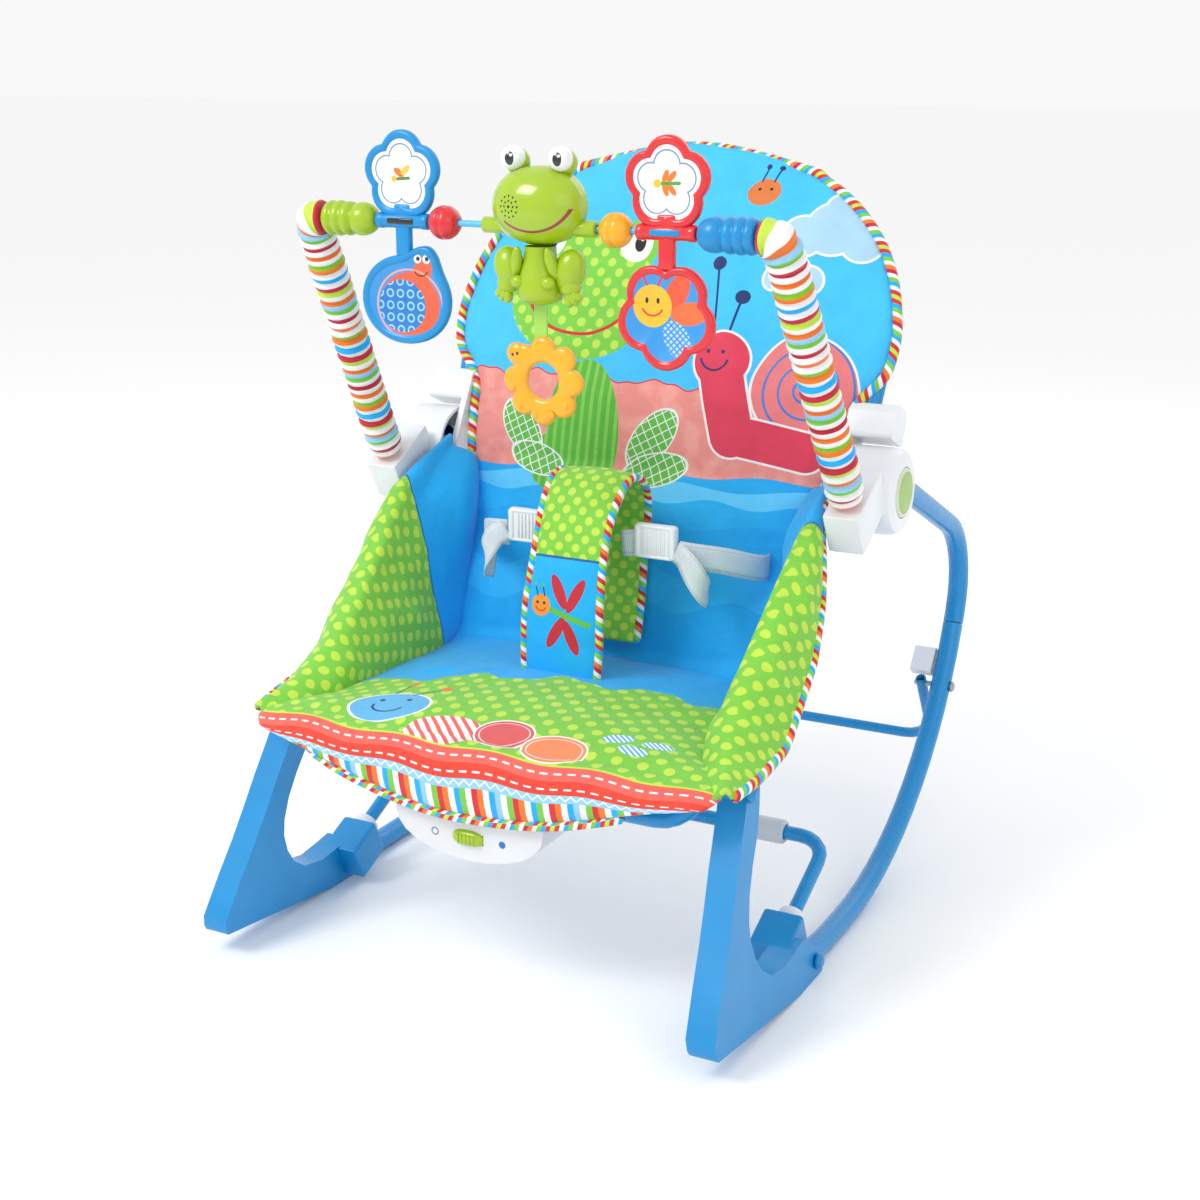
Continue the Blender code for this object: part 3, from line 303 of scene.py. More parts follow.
PLASTICS = {
    "white": plastic("white_plastic", srgb(236, 240, 245), 0.32),
    "blue": plastic("blue_plastic", FRAME_BLUE, 0.34, coat=0.08),
    "green": plastic("green_plastic", TOY_GREEN, 0.24, coat=0.3),
    "red": plastic("red_plastic", srgb(226, 36, 44), 0.22, coat=0.4),
    "yellow": plastic("yellow_plastic", srgb(250, 176, 20), 0.26, coat=0.3),
    "grey": plastic("grey_plastic", srgb(208, 213, 220), 0.42, 0.0001, 0.0),
    "pale": plastic("pale_green_plastic", srgb(160, 214, 84), 0.3),
    "black": plastic("black_plastic", BLACK, 0.15, coat=0.6),
    "button_rim": plastic("rim_plastic", srgb(216, 232, 200), 0.3),
    "steel": Paint("steel", srgb(180, 182, 186), 0.28, "Object", Metallic=1.0),
}
steel = PLASTICS["steel"]
steel.shade(steel.noise(60, 3), 0.85, 1.1)
PLASTICS["steel"] = steel.done(((steel.noise(500, 2), 0.00008, 0.3),))
TUBE_BLUE = painted("blue_powder_coat", FRAME_BLUE)
PALE_ROD = painted("pale_blue_rod", srgb(90, 190, 240))


# --- mesh helpers ---
def placed(name, data):
    o = bpy.data.objects.new(name, data)
    bpy.context.scene.collection.objects.link(o)
    return o


def piece(name, mesh, materials, body=None, replaces=(), slot=None):
    o = placed(name, mesh)
    for m in materials:
        mesh.materials.append(m)
    bm = bmesh.new()
    bm.from_mesh(mesh)
    bmesh.ops.recalc_face_normals(bm, faces=bm.faces)
    for f in bm.faces:
        f.smooth = True
    bm.to_mesh(mesh)
    bm.free()
    if body:
        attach(o, body)
    if replaces:
        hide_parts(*replaces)
    return o


def surface(name, points, flat, wrap=False, caps=False):
    """A mesh over a grid of points; flat holds each point's place on the flat cloth."""
    rows, cols = points.shape[:2]
    across = cols if wrap else cols - 1
    i, j = (a.ravel() for a in np.meshgrid(np.arange(rows - 1), np.arange(across), indexing="ij"))
    k = (j + 1) % cols
    faces = np.stack([i * cols + j, i * cols + k, (i + 1) * cols + k, (i + 1) * cols + j], 1).tolist()
    uv = np.stack([flat[i, j], flat[i, j + 1], flat[i + 1, j + 1], flat[i + 1, j]], 1).reshape(-1, 2)
    if caps:
        half = cols // 2
        for row in (0, rows - 1):
            for c in range(half):
                quad = (c, c + 1, (cols - c - 1), (cols - c) % cols)
                if len(set(quad)) >= 3:
                    ids = list(dict.fromkeys(quad))
                    faces.append([row * cols + q for q in ids])
                    uv = np.concatenate([uv, np.array([flat[row, q] for q in ids])])
    mesh = bpy.data.meshes.new(name)
    mesh.from_pydata(points.reshape(-1, 3).tolist(), [], faces)
    mesh.uv_layers.new(name="UV").data.foreach_set("uv", uv.astype(np.float32).ravel())
    return mesh


def smooth_path(corners, step):
    """Points a step apart on a smooth curve through the corners."""
    p = np.array(corners, float)
    p = np.vstack([2 * p[0] - p[1], p, 2 * p[-1] - p[-2]])
    out = []
    for a, b, c, d in zip(p, p[1:], p[2:], p[3:]):
        for t in np.linspace(0, 1, 24, endpoint=False):
            out.append(0.5 * (2 * b + (c - a) * t + (2 * a - 5 * b + 4 * c - d) * t * t
                              + (3 * b - a - 3 * c + d) * t ** 3))
    out.append(p[-2])
    out = np.array(out)
    far = np.concatenate([[0], np.cumsum(np.linalg.norm(np.diff(out[:, :3], axis=0), axis=1))])
    at = np.linspace(0, far[-1], max(3, int(far[-1] / step) + 1))
    return np.stack([np.interp(at, far, out[:, i]) for i in range(out.shape[1])], 1), at


def headings(line):
    """The unit direction of a line at each of its points."""
    ahead = np.gradient(line, axis=0)
    return ahead / np.linalg.norm(ahead, axis=1)[:, None]


def tube(name, path, radius, material, body=None, sides=12, step=0.003, replaces=(), slot=None, swell=None):
    """A round cord or sleeve along a path, with its ends drawn in."""
    line, at = smooth_path(path, step)
    ahead = headings(line)
    side = np.cross(ahead[0], (0.3, 0.5, 0.81))
    frames = []
    for a in ahead:
        side = side - a * (side @ a)
        side /= np.linalg.norm(side)
        frames.append((side.copy(), np.cross(a, side)))
    r = np.full(len(line), radius) if swell is None else np.array([swell(s, at[-1]) for s in at])
    r[0] = r[-1] = radius * 0.3
    angles = np.linspace(0, 2 * math.pi, sides, endpoint=False)
    points = np.array([[p + rr * (math.cos(t) * u + math.sin(t) * v) for t in angles]
                       for p, rr, (u, v) in zip(line, r, frames)])
    flat = np.array([[(s, radius * t) for t in np.append(angles, 2 * math.pi)] for s in at])
    return piece(name, surface(name, points, flat, wrap=True), [material], body, replaces, slot)


def lathe(profile, centre, axis, steps=40):
    """A mesh turned from (radius, distance along the axis) points."""
    axis = Vector(axis).normalized()
    u = axis.orthogonal().normalized()
    v = axis.cross(u)
    ring = np.linspace(0, 2 * math.pi, steps, endpoint=False)
    points = np.array([[Vector(centre) + axis * h + (u * math.cos(t) + v * math.sin(t)) * max(r, 1e-5)
                        for t in ring] for r, h in profile])
    flat = np.array([[(t * 0.02, h) for t in np.append(ring, 2 * math.pi)] for r, h in profile])
    return surface("turned", points, flat, wrap=True)


def blob(centre, radii, turn=(0, 0, 0), steps=32, shape=None):
    """An egg form; shape bends its unit points."""
    rings = np.linspace(-math.pi / 2 + 0.02, math.pi / 2 - 0.02, steps // 2)
    ring = np.linspace(0, 2 * math.pi, steps, endpoint=False)
    turned = Matrix.Rotation(turn[0], 3, "X") @ Matrix.Rotation(turn[1], 3, "Y") @ Matrix.Rotation(turn[2], 3, "Z")
    points = np.zeros((len(rings), steps, 3))
    for i, a in enumerate(rings):
        for j, t in enumerate(ring):
            p = Vector((math.cos(a) * math.cos(t), math.cos(a) * math.sin(t), math.sin(a)))
            if shape:
                p = shape(p)
            points[i, j] = Vector(centre) + turned @ Vector((p.x * radii[0], p.y * radii[1], p.z * radii[2]))
    flat = np.array([[(t * 0.01, a * 0.01) for t in np.append(ring, 7)] for a in rings])
    return surface("blob", points, flat, wrap=True)


def merged(name, parts, body, replaces=()):
    """One piece out of several (mesh, material or list of materials) pairs."""
    objects = [piece(f"{name}_{i}", mesh, look if isinstance(look, list) else [look])
               for i, (mesh, look) in enumerate(parts)]
    first = objects[0]
    with bpy.context.temp_override(active_object=first, object=first, selected_objects=objects,
                                   selected_editable_objects=objects):
        bpy.ops.object.join()
    first.name = name
    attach(first, body)
    if replaces:
        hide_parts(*replaces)
    return first


def puffed(o, held, cap=0.006, pressure=4.0, frames=18):
    """Blows a sewn pad up a little between its seams, and keeps the shape that the cloth takes."""
    scene = bpy.context.scene
    rest = np.zeros(len(o.data.vertices) * 3)
    o.data.vertices.foreach_get("co", rest)
    rest = rest.reshape(-1, 3)
    group = o.vertex_groups.new(name="seams")
    group.add([int(i) for i in held], 1.0, "REPLACE")
    m = o.modifiers.new("cloth", "CLOTH")
    m.settings.vertex_group_mass = "seams"
    m.settings.use_pressure = True
    m.settings.uniform_pressure_force = pressure
    m.settings.effector_weights.gravity = 0.0
    m.settings.quality = 4
    m.settings.tension_stiffness = m.settings.compression_stiffness = 4.0
    m.settings.bending_stiffness = 0.05
    m.collision_settings.use_self_collision = False
    m.point_cache.frame_start = 1
    m.point_cache.frame_end = frames
    for f in range(1, frames + 1):
        scene.frame_set(f)
    shaped = o.evaluated_get(bpy.context.evaluated_depsgraph_get()).to_mesh()
    moved = np.zeros(len(shaped.vertices) * 3)
    shaped.vertices.foreach_get("co", moved)
    step = moved.reshape(-1, 3) - rest
    length = np.maximum(np.linalg.norm(step, axis=1), 1e-9)
    step *= np.minimum(1.0, cap / length)[:, None]
    o.modifiers.remove(m)
    o.vertex_groups.clear()
    scene.frame_set(1)
    o.data.vertices.foreach_set("co", (rest + step).ravel())
    o.data.update()


def rumple(x, y, scale=20.0, seed=0.0):
    return noise.noise(Vector((x * scale, y * scale, seed)))


def on_back(x, s, n=0.0):
    return (x, HUB_Y + s * math.sin(TILT) - n * math.cos(TILT), HUB_Z + s * math.cos(TILT) + n * math.sin(TILT))


# --- seat cover ---
# each row: y, z of the upper face at its edges, half the width, crown, thickness
COVER = [(-0.2535, 0.1515, 0.150, 0.0010, 0.0030), (-0.2575, 0.1660, 0.166, 0.0015, 0.0035),
         (-0.2590, 0.1800, 0.184, 0.0020, 0.0045), (-0.2560, 0.1925, 0.197, 0.0030, 0.0070),
         (-0.2440, 0.2010, 0.204, 0.0040, 0.0100), (-0.2200, 0.2045, 0.194, 0.0055, 0.0130),
         (-0.1800, 0.2055, 0.170, 0.0065, 0.0140), (-0.1200, 0.2055, 0.165, 0.0065, 0.0140),
         (-0.0700, 0.2050, 0.162, 0.0065, 0.0140), (-0.0320, 0.2060, 0.159, 0.0050, 0.0140),
         (-0.0140, 0.2130, 0.159, 0.0035, 0.0130), (-0.0030, 0.2350, 0.159, 0.0060, 0.0130),
         (0.0130, 0.2740, 0.161, 0.0090, 0.0140), (0.0290, 0.3150, 0.165, 0.0090, 0.0150)]
for s, half, crown, thick in ((-0.012, 0.168, 0.008, 0.015), (0.010, 0.173, 0.007, 0.017),
                              (0.035, 0.176, 0.007, 0.018), (0.056, 0.179, 0.007, 0.019),
                              (0.072, 0.187, 0.007, 0.020), (0.084, 0.197, 0.007, 0.020),
                              (0.097, 0.2050, 0.007, 0.021)):
    COVER.append((*on_back(0, s, COVER_OUT)[1:], half, crown, thick))
SHOULDER, ARCH_X, ARCH_S = 0.105, 0.2085, 0.181
for q in (0.10, 0.22, 0.36, 0.50, 0.62, 0.73, 0.82, 0.89, 0.94, 0.972, 0.990, 0.998):
    s = SHOULDER + ARCH_S * q
    COVER.append((*on_back(0, s, COVER_OUT)[1:], ARCH_X * (1 - q ** 2.222) ** 0.45, 0.007 * (1 - 0.4 * q), 0.021))

cover_line, cover_far = smooth_path([(0, y, z, w, c, t) for y, z, w, c, t in COVER], 0.0034)


def cover_v(y, z):
    """How far along the cover the row nearest to (y, z) lies."""
    return float(cover_far[np.argmin(np.hypot(cover_line[:, 1] - y, cover_line[:, 2] - z))])


hub_v = cover_v(*on_back(0, 0, COVER_OUT)[1:])
crease_v = cover_v(-0.014, 0.213)
edge_v = cover_v(-0.2560, 0.1925)


def floor_v(y):
    """Where a place on the seat floor lies along the cover."""
    return crease_v + (y + 0.014)


def cover_mesh():
    ahead = headings(cover_line[:, 1:3])
    half_cols = 56
    k = np.sin(np.linspace(-1, 1, half_cols) * math.pi / 2)
    k = 0.55 * k + 0.45 * np.linspace(-1, 1, half_cols)
    cols = 2 * half_cols - 2
    points = np.zeros((len(cover_line), cols, 3))
    flat = np.zeros((len(cover_line), cols + 1, 2))
    for i, ((_, y, z, w, crown, thick), v, (dy, dz)) in enumerate(zip(cover_line, cover_far, ahead)):
        up = np.array([0, -dz, dy])
        lift = max(0.0, 1 - v / edge_v) if v < edge_v else 0.0
        on_floor = max(0.0, 1 - abs(v - floor_v(-0.12)) / 0.13)
        low_back = max(0.0, 1 - abs(v - (hub_v - 0.065)) / 0.09)
        on_rear = min(1.0, max(0.0, (v - hub_v) / 0.06))
        for j in range(cols):
            upper = j < half_cols
            t = k[j] if upper else k[2 * half_cols - 2 - j]
            x = t * w
            round_off = math.sqrt(max(0.0, 1 - abs(t) ** 16))
            n = crown * (1 - abs(t) ** 2.5) - thick / 2 * (1 - round_off)
            if upper:
                n += 0.0024 * rumple(x, v, 13, 1.0) * (1 - abs(t) ** 6)
                n += 0.0060 * low_back * rumple(x * 2.6, v * 0.8, 16, 4.0) * (1 - abs(t) ** 6)
                n += 0.0060 * on_rear * rumple(x * 1.2 + v * 0.3, v * 0.5, 26, 7.0) * (1 - abs(t) ** 8)
                n += 0.0050 * on_floor * rumple(x, v * 1.6, 24, 9.0) * (1 - abs(t) ** 8)
                n -= 0.0030 * math.exp(-((v - hub_v + 0.004) / 0.005) ** 2) * (1 - abs(t) ** 8)
                n -= 0.0030 * math.exp(-((v - floor_v(FLAP_FOLD_Y)) / 0.004) ** 2) * (1 - abs(t) ** 8)
            else:
                n = -thick + thick / 2 * (1 - round_off) - 0.2 * crown * (1 - t * t)
                n += 0.0012 * rumple(x, v, 18, 12.0)
            p = np.array([x, y, z]) + up * n
            p[2] += lift * 0.030 * t * t
            p[1] += lift * 0.004 * t * t
            p[1] += 0.010 * t * t * (1 - abs(v - edge_v - 0.02) / 0.05) if abs(v - edge_v - 0.02) < 0.05 else 0.0
            points[i, j] = p
            flat[i, j] = (x, v)
        flat[i, cols] = flat[i, 0]
    mesh = surface("seat_cover", points, flat, wrap=True, caps=True)
    for f in mesh.polygons:
        col = min(v % cols for v in f.vertices) if f.index < (len(cover_line) - 1) * cols else 0
        f.material_index = 1 if half_cols - 1 <= col < cols - 1 else 0
    return mesh, points, half_cols


def cover_print():
    p = fabric("printed_cover", SEAT_BLUE)
    u, v = p.x, p.y

    def along(base, slope, *waves):
        """A wavy line across the cloth: v measured from it."""
        line = p.math("MULTIPLY_ADD", u, -slope, p.math("SUBTRACT", v, base))
        for pitch, height, shift in waves:
            line = p.math("SUBTRACT", line, p.wave(u, pitch, height, shift))
        return line

    # soft changes in the seat's blue
    p.over(p.band(along(crease_v + 0.045, 0.05, (0.09, 0.006, 0.4)), 0.0, 0.030), (0.02, 0.46, 0.93), 0.8)
    green = p.less(along(floor_v(-0.122), 0.25, (0.075, 0.007, 0.6), (0.031, 0.002, 0.0)), 0.0)
    p.over(green, GREEN)
    p.over(p.both(green, p.dots(0.021, 0.0043)), DOT)
    # creatures on the seat's front
    f = lambda x, y: (x, floor_v(y))
    white_line = p.ring(f(-0.096, -0.212), (0.0345, 0.0225), 0.0016, 18)
    p.over(p.ellipse(f(-0.096, -0.212), (0.034, 0.022), 18), srgb(96, 184, 236))
    p.over(white_line, WHITE)
    for x, y in ((-0.106, -0.206), (-0.084, -0.200)):
        p.over(p.disc(f(x, y), 0.0023), NAVY)
    smile = p.ring(f(-0.096, -0.213), (0.0135, 0.0090), 0.0015, 18)
    p.over(p.both(smile, p.less(v, floor_v(-0.2135))), NAVY)
    for a, b in (((-0.103, -0.190), (-0.100, -0.166)), ((-0.086, -0.190), (-0.066, -0.172))):
        p.over(p.stroke(f(*a), f(*b), 0.0008), NAVY)
        p.over(p.disc(f(*b), 0.0042), ORANGE)
    oval = p.ellipse(f(-0.033, -0.233), (0.032, 0.0195), 12)
    p.over(oval, WHITE)
    slant = p.math("MULTIPLY_ADD", u, 0.9, v)
    p.over(p.both(oval, p.less(p.turns(slant, 0.0092), 0.45)), CORAL)
    for x, y, size, colour, turn in ((0.017, -0.223, (0.0235, 0.0165), RED, 8),
                                     (0.064, -0.231, (0.0255, 0.0165), ORANGE, 4)):
        p.over(p.ellipse(f(x, y), (size[0] + 0.0016, size[1] + 0.0016), turn), WHITE)
        p.over(p.ellipse(f(x, y), size, turn), colour, 0.9)
        p.over(p.ring(f(x, y), (size[0] - 0.003, size[1] - 0.003), 0.0007, turn), WHITE, 0.8)
    for x, y, turn in ((0.103, -0.200, 30), (0.121, -0.214, -10), (0.134, -0.196, 20)):
        leaf = p.ellipse(f(x, y), (0.0125, 0.0070), turn)
        p.over(leaf, WHITE)
        p.over(p.both(leaf, p.less(p.turns(slant, 0.0050), 0.45)), SEAT_BLUE)
    # bands over the front edge
    top = edge_v + 0.0135
    edge = along(top, 0.0, (0.085, 0.0018, 0.0))
    p.over(p.less(edge, 0.0016), DOT)
    p.over(p.less(edge, 0.0), CORAL)
    dash = p.less(p.turns(u, 0.0110), 0.58)
    p.over(p.both(dash, p.band(edge, -0.0062, -0.0048)), WHITE)
    p.over(p.less(edge, -0.0105), srgb(232, 66, 46))
    p.over(p.both(dash, p.band(edge, -0.0172, -0.0158)), WHITE)
    p.over(p.less(edge, -0.0212), PALE_BLUE)
    zig = p.math("PINGPONG", u, 0.0045)
    p.over(p.band(p.math("SUBTRACT", p.math("ADD", edge, 0.0270), zig), -0.0004, 0.0012), WHITE)
    p.over(p.less(edge, -0.0288), p.stripes(u, 0.066, [
        GREEN, WHITE, RED, ORANGE, WHITE, SEAT_BLUE, PALE_BLUE, WHITE, GREEN, RED, ORANGE, WHITE, SEAT_BLUE]))
    # water and the pink ground behind the back
    p.over(p.less(0.0, along(hub_v - 0.050, 0.02, (0.11, 0.004, 1.0))), (0.01, 0.43, 0.90))
    p.over(p.less(0.0, along(hub_v - 0.030, 0.02, (0.08, 0.003, 2.0))), (0.11, 0.58, 0.97))
    p.over(p.less(0.0, along(hub_v - 0.0165, 0.02, (0.13, 0.003, 0.0))), SEAT_BLUE)
    pink = p.less(0.0, along(hub_v - 0.0085, 0.03, (0.10, 0.002, 0.5)))
    p.over(pink, PINK)
    blotch = p.ranged(p.noise(70, 4), 0.45, 0.62)
    p.over(p.both(pink, blotch), srgb(250, 176, 166), 0.6)
    horizon = along(hub_v + 0.0680, -0.02, (0.060, 0.0028, 0.5), (0.023, 0.0011, 0.0))
    p.over(p.less(0.0, horizon), SKY)
    p.over(p.band(horizon, -0.0010, 0.0004), srgb(206, 70, 78))
    # clouds
    b = lambda x, s: (x, hub_v + s)
    for grow, colour in ((0.0022, WHITE), (0.0, srgb(172, 216, 248))):
        for x, s, r in ((0.140, 0.214, 0.023), (0.166, 0.205, 0.017), (0.116, 0.205, 0.018), (0.148, 0.232, 0.017),
                        (0.113, 0.173, 0.014), (0.128, 0.166, 0.012), (0.098, 0.167, 0.010),
                        (-0.152, 0.236, 0.013), (-0.138, 0.244, 0.013)):
            p.over(p.disc(b(x, s), r + grow), colour)
    # small head near the top
    p.over(p.ellipse(b(0.073, 0.243), (0.0150, 0.0125), 20), srgb(224, 124, 60))
    for x in (0.069, 0.080):
        p.over(p.stroke(b(x, 0.253), b(x * 1.05, 0.266), 0.0008), NAVY)
        p.over(p.disc(b(x * 1.05, 0.267), 0.0025), NAVY)
        p.over(p.disc(b(x - 0.001, 0.246), 0.0014), BLACK)
    # the dotted frog
    green = srgb(122, 204, 66)
    body = p.either(p.ellipse(b(-0.056, 0.020), (0.036, 0.064), 4), p.ellipse(b(-0.080, -0.006), (0.024, 0.026)))
    p.over(body, srgb(92, 186, 60))
    rays = p.less(p.turns(u, 0.0085), 0.40)
    p.over(p.both(body, rays), srgb(134, 210, 84))
    for x, s, size, turn in ((-0.118, 0.020, (0.030, 0.0155), 130), (-0.098, -0.006, (0.028, 0.0125), 165),
                             (0.012, 0.020, (0.031, 0.0165), 52), (0.018, -0.006, (0.030, 0.0140), 14)):
        leaf = p.ellipse(b(x, s), size, turn)
        p.over(leaf, srgb(104, 190, 72))
        p.over(p.both(leaf, p.grid(0.0074, 0.0009, 30)), WHITE)
        p.over(p.ring(b(x, s), size, 0.0012, turn), WHITE)
    for x in (-0.122, -0.034):
        p.over(p.disc(b(x, 0.188), 0.0235), green)
    head = p.ellipse(b(-0.078, 0.140), (0.074, 0.057), -3)
    p.over(head, green)
    p.over(p.both(head, p.dots(0.0185, 0.0040)), srgb(190, 226, 84))
    for x in (-0.122, -0.034):
        p.over(p.disc(b(x, 0.190), 0.0165), WHITE)
        p.over(p.ellipse(b(x + 0.003, 0.191), (0.0058, 0.0080)), BLACK)
        p.over(p.disc(b(x + 0.0045, 0.1945), 0.0019), WHITE)
    smile = p.ring(b(-0.078, 0.158), (0.060, 0.052), 0.0030)
    p.over(p.both(smile, p.less(v, hub_v + 0.138)), srgb(206, 46, 44))
    # the snail
    shell = b(0.140, 0.074)
    p.over(p.disc(shell, 0.0465), WHITE)
    p.over(p.disc(shell, 0.0445), srgb(240, 128, 132))
    from_shell = p.local(shell)
    sx, sy, _ = p.node("ShaderNodeSeparateXYZ", [from_shell]).outputs
    turn = p.math("DIVIDE", p.math("ARCTAN2", sy, sx), 2 * math.pi)
    coil = p.math("FRACT", p.math("SUBTRACT", p.math("DIVIDE", p.vector("LENGTH", from_shell), 0.0135), turn))
    p.over(p.both(p.disc(shell, 0.0445), p.less(coil, 0.16)), srgb(70, 130, 214))
    for a, c in (((0.066, 0.094), (0.074, 0.148)), ((0.058, 0.092), (0.048, 0.176))):
        p.over(p.stroke(b(*a), b(*c), 0.0011), NAVY)
        p.over(p.disc(b(*c), 0.0062), NAVY)
    for grow, colour in ((0.0020, WHITE), (0.0, srgb(228, 62, 92))):
        p.over(p.disc(b(0.066, 0.092), 0.0240 + grow), colour)
        p.over(p.stroke(b(0.068, 0.080), b(0.084, 0.030), 0.0190 + grow), colour)
        p.over(p.stroke(b(0.084, 0.030), b(0.150, 0.022), 0.0165 + grow), colour)
    smile = p.ring(b(0.060, 0.094), (0.0125, 0.0110), 0.0018)
    p.over(p.both(smile, p.less(v, hub_v + 0.0925)), NAVY)
    for x in (0.053, 0.067):
        p.over(p.disc(b(x, 0.099), 0.0018), NAVY)
    return p.cloth()


def lining():
    p = fabric("cover_lining", srgb(206, 222, 238))
    p.over(p.either(p.band(p.turns(p.x, 0.09), 0.0, 0.012),
                    p.band(p.turns(p.y, 0.09), 0.0, 0.012)), srgb(170, 192, 216))
    return p.cloth()


def bias_tape():
    """Piping cut from striped cloth on the slant."""
    p = fabric("striped_piping", WHITE)
    slant = p.math("MULTIPLY_ADD", p.y, 0.55, p.x)
    p.over(1.0, p.stripes(slant, 0.046, [RED, WHITE, SEAT_BLUE, GREEN, WHITE, CRIMSON, ORANGE,
                                         WHITE, GREEN, SEAT_BLUE, RED, DOT]))
    p.shade(p.noise(90, 2), 0.9, 1.06)
    ridge = p.ribs(slant, 0.0016)
    return p.done(((p.noise(120, 2), 0.0008, 0.4), (ridge, 0.0001, 0.4)))


PIPING = bias_tape()
mesh, cover_points, half_cols = cover_mesh()
cover = piece("seat_cover", mesh, [cover_print(), lining()], replaces=("seat_cushion", "back_panel"),
              slot="seat_cushion")
cols = cover_points.shape[1]
held = []
for i, (row, v) in enumerate(zip(cover_line, cover_far)):
    t = np.abs(cover_points[i, :, 0]) / max(row[3], 1e-6)
    for j in range(cols):
        back_face = j >= half_cols
        if t[j] > 0.93 or back_face or v < edge_v or abs(v - hub_v + 0.004) < 0.004 or abs(v - crease_v) < 0.010 \
                or i > len(cover_line) - 5 or abs(v - floor_v(FLAP_FOLD_Y)) < 0.003:
            held.append(i * cols + j)
puffed(cover, held, COVER_SWELL, COVER_PRESSURE)
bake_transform(cover)

# piping round the arch, from hub to hub
edge_rows = [i for i, v in enumerate(cover_far) if v > hub_v - 0.010]
right_edge = []
for i in edge_rows[::3] + [edge_rows[-1]]:
    _, y, z, w, _, thick = cover_line[i]
    n = -thick * 0.22
    right_edge.append((w + 0.0006, y - math.cos(TILT) * n, z + math.sin(TILT) * n))
top_s = SHOULDER + ARCH_S + 0.0012
arch = right_edge[:-2] + [on_back(0.0, top_s, 0.0065)] + [(-x, y, z) for x, y, z in right_edge[:-2][::-1]]
arch_piping = tube("arch_piping", arch, 0.0042, PIPING, slot="back_panel")
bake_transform(arch_piping)

flap_row = cover_points[0][:half_cols]
tube("flap_piping", [tuple(p + np.array([0, -0.0005, -0.002])) for p in flap_row[2:-2:4]], 0.0036, PIPING, "base",
     slot="seat_cushion")


# --- side panels ---
# lines from the hub to the front corner, each as (share of the way, x, y, z)
SIDE_LINES = (
    [(0, 0.1640, 0.0460, 0.3560), (0.10, 0.1600, 0.0360, 0.3120), (0.20, 0.1560, 0.0195, 0.2710),
     (0.30, 0.1540, -0.0010, 0.2260), (0.38, 0.1540, -0.0200, 0.2035), (0.50, 0.1560, -0.0600, 0.1990),
     (0.65, 0.1590, -0.1200, 0.1990), (0.82, 0.1640, -0.1800, 0.1990), (0.91, 0.1790, -0.2100, 0.1980),
     (1, 0.2000, -0.2400, 0.1960)],
    [(0, 0.1800, 0.0310, 0.3670), (0.14, 0.1800, -0.0080, 0.3530), (0.27, 0.1800, -0.0420, 0.3340),
     (0.50, 0.1740, -0.1040, 0.2780), (0.75, 0.1685, -0.1650, 0.2250), (0.85, 0.1720, -0.1900, 0.2080),
     (1, 0.2030, -0.2360, 0.1990)],
    [(0, 0.1830, 0.0310, 0.3790), (0.14, 0.1850, -0.0080, 0.3660), (0.27, 0.1905, -0.0450, 0.3470),
     (0.50, 0.1860, -0.1060, 0.2890), (0.75, 0.1820, -0.1690, 0.2345), (0.87, 0.1900, -0.1970, 0.2140),
     (1, 0.2070, -0.2340, 0.2020)],
    [(0, 0.1850, 0.0310, 0.3770), (0.14, 0.1880, -0.0100, 0.3610), (0.27, 0.2010, -0.0480, 0.3360),
     (0.50, 0.2020, -0.1040, 0.2800), (0.75, 0.2000, -0.1630, 0.2275), (0.87, 0.2030, -0.1950, 0.2100),
     (1, 0.2090, -0.2320, 0.1990)],
    [(0, 0.1855, 0.0330, 0.3740), (0.14, 0.1885, -0.0120, 0.3560), (0.27, 0.2040, -0.0450, 0.3200),
     (0.35, 0.2090, -0.0580, 0.2930), (0.50, 0.2150, -0.0880, 0.2570), (0.75, 0.2180, -0.1500, 0.2070),
     (0.90, 0.2160, -0.2000, 0.1990), (1, 0.2110, -0.2310, 0.1960)])


def eased(line, count):
    """The line sampled evenly, with its corners rounded off."""
    line = np.array(line)
    t = np.linspace(0, 1, count)
    out = np.stack([np.interp(t, line[:, 0], line[:, i]) for i in (1, 2, 3)], 1)
    for _ in range(6):
        out[1:-1] = out[1:-1] * 0.5 + (out[:-2] + out[2:]) * 0.25
    return out


def fitted(corners, count):
    """That many points on a smooth curve through the corners."""
    line, far = smooth_path(corners, 0.0015)
    at = np.linspace(0, far[-1], count)
    return np.stack([np.interp(at, far, line[:, i]) for i in range(3)], 1), at


def side_print():
    p = fabric("dotted_side", GREEN)
    p.over(p.dots(0.019, 0.0042), DOT)
    # the blue wing behind the green panel
    wing = p.math("MULTIPLY_ADD", p.y, -0.55, p.x)
    p.over(p.less(wing, 0.083), SEAT_BLUE)
    p.over(p.band(wing, 0.0815, 0.0835), srgb(18, 104, 176))
    stitch = p.less(p.turns(p.y, 0.0040), 0.6)
    p.over(p.both(stitch, p.band(wing, 0.0860, 0.0868)), DOT)
    return p.cloth()


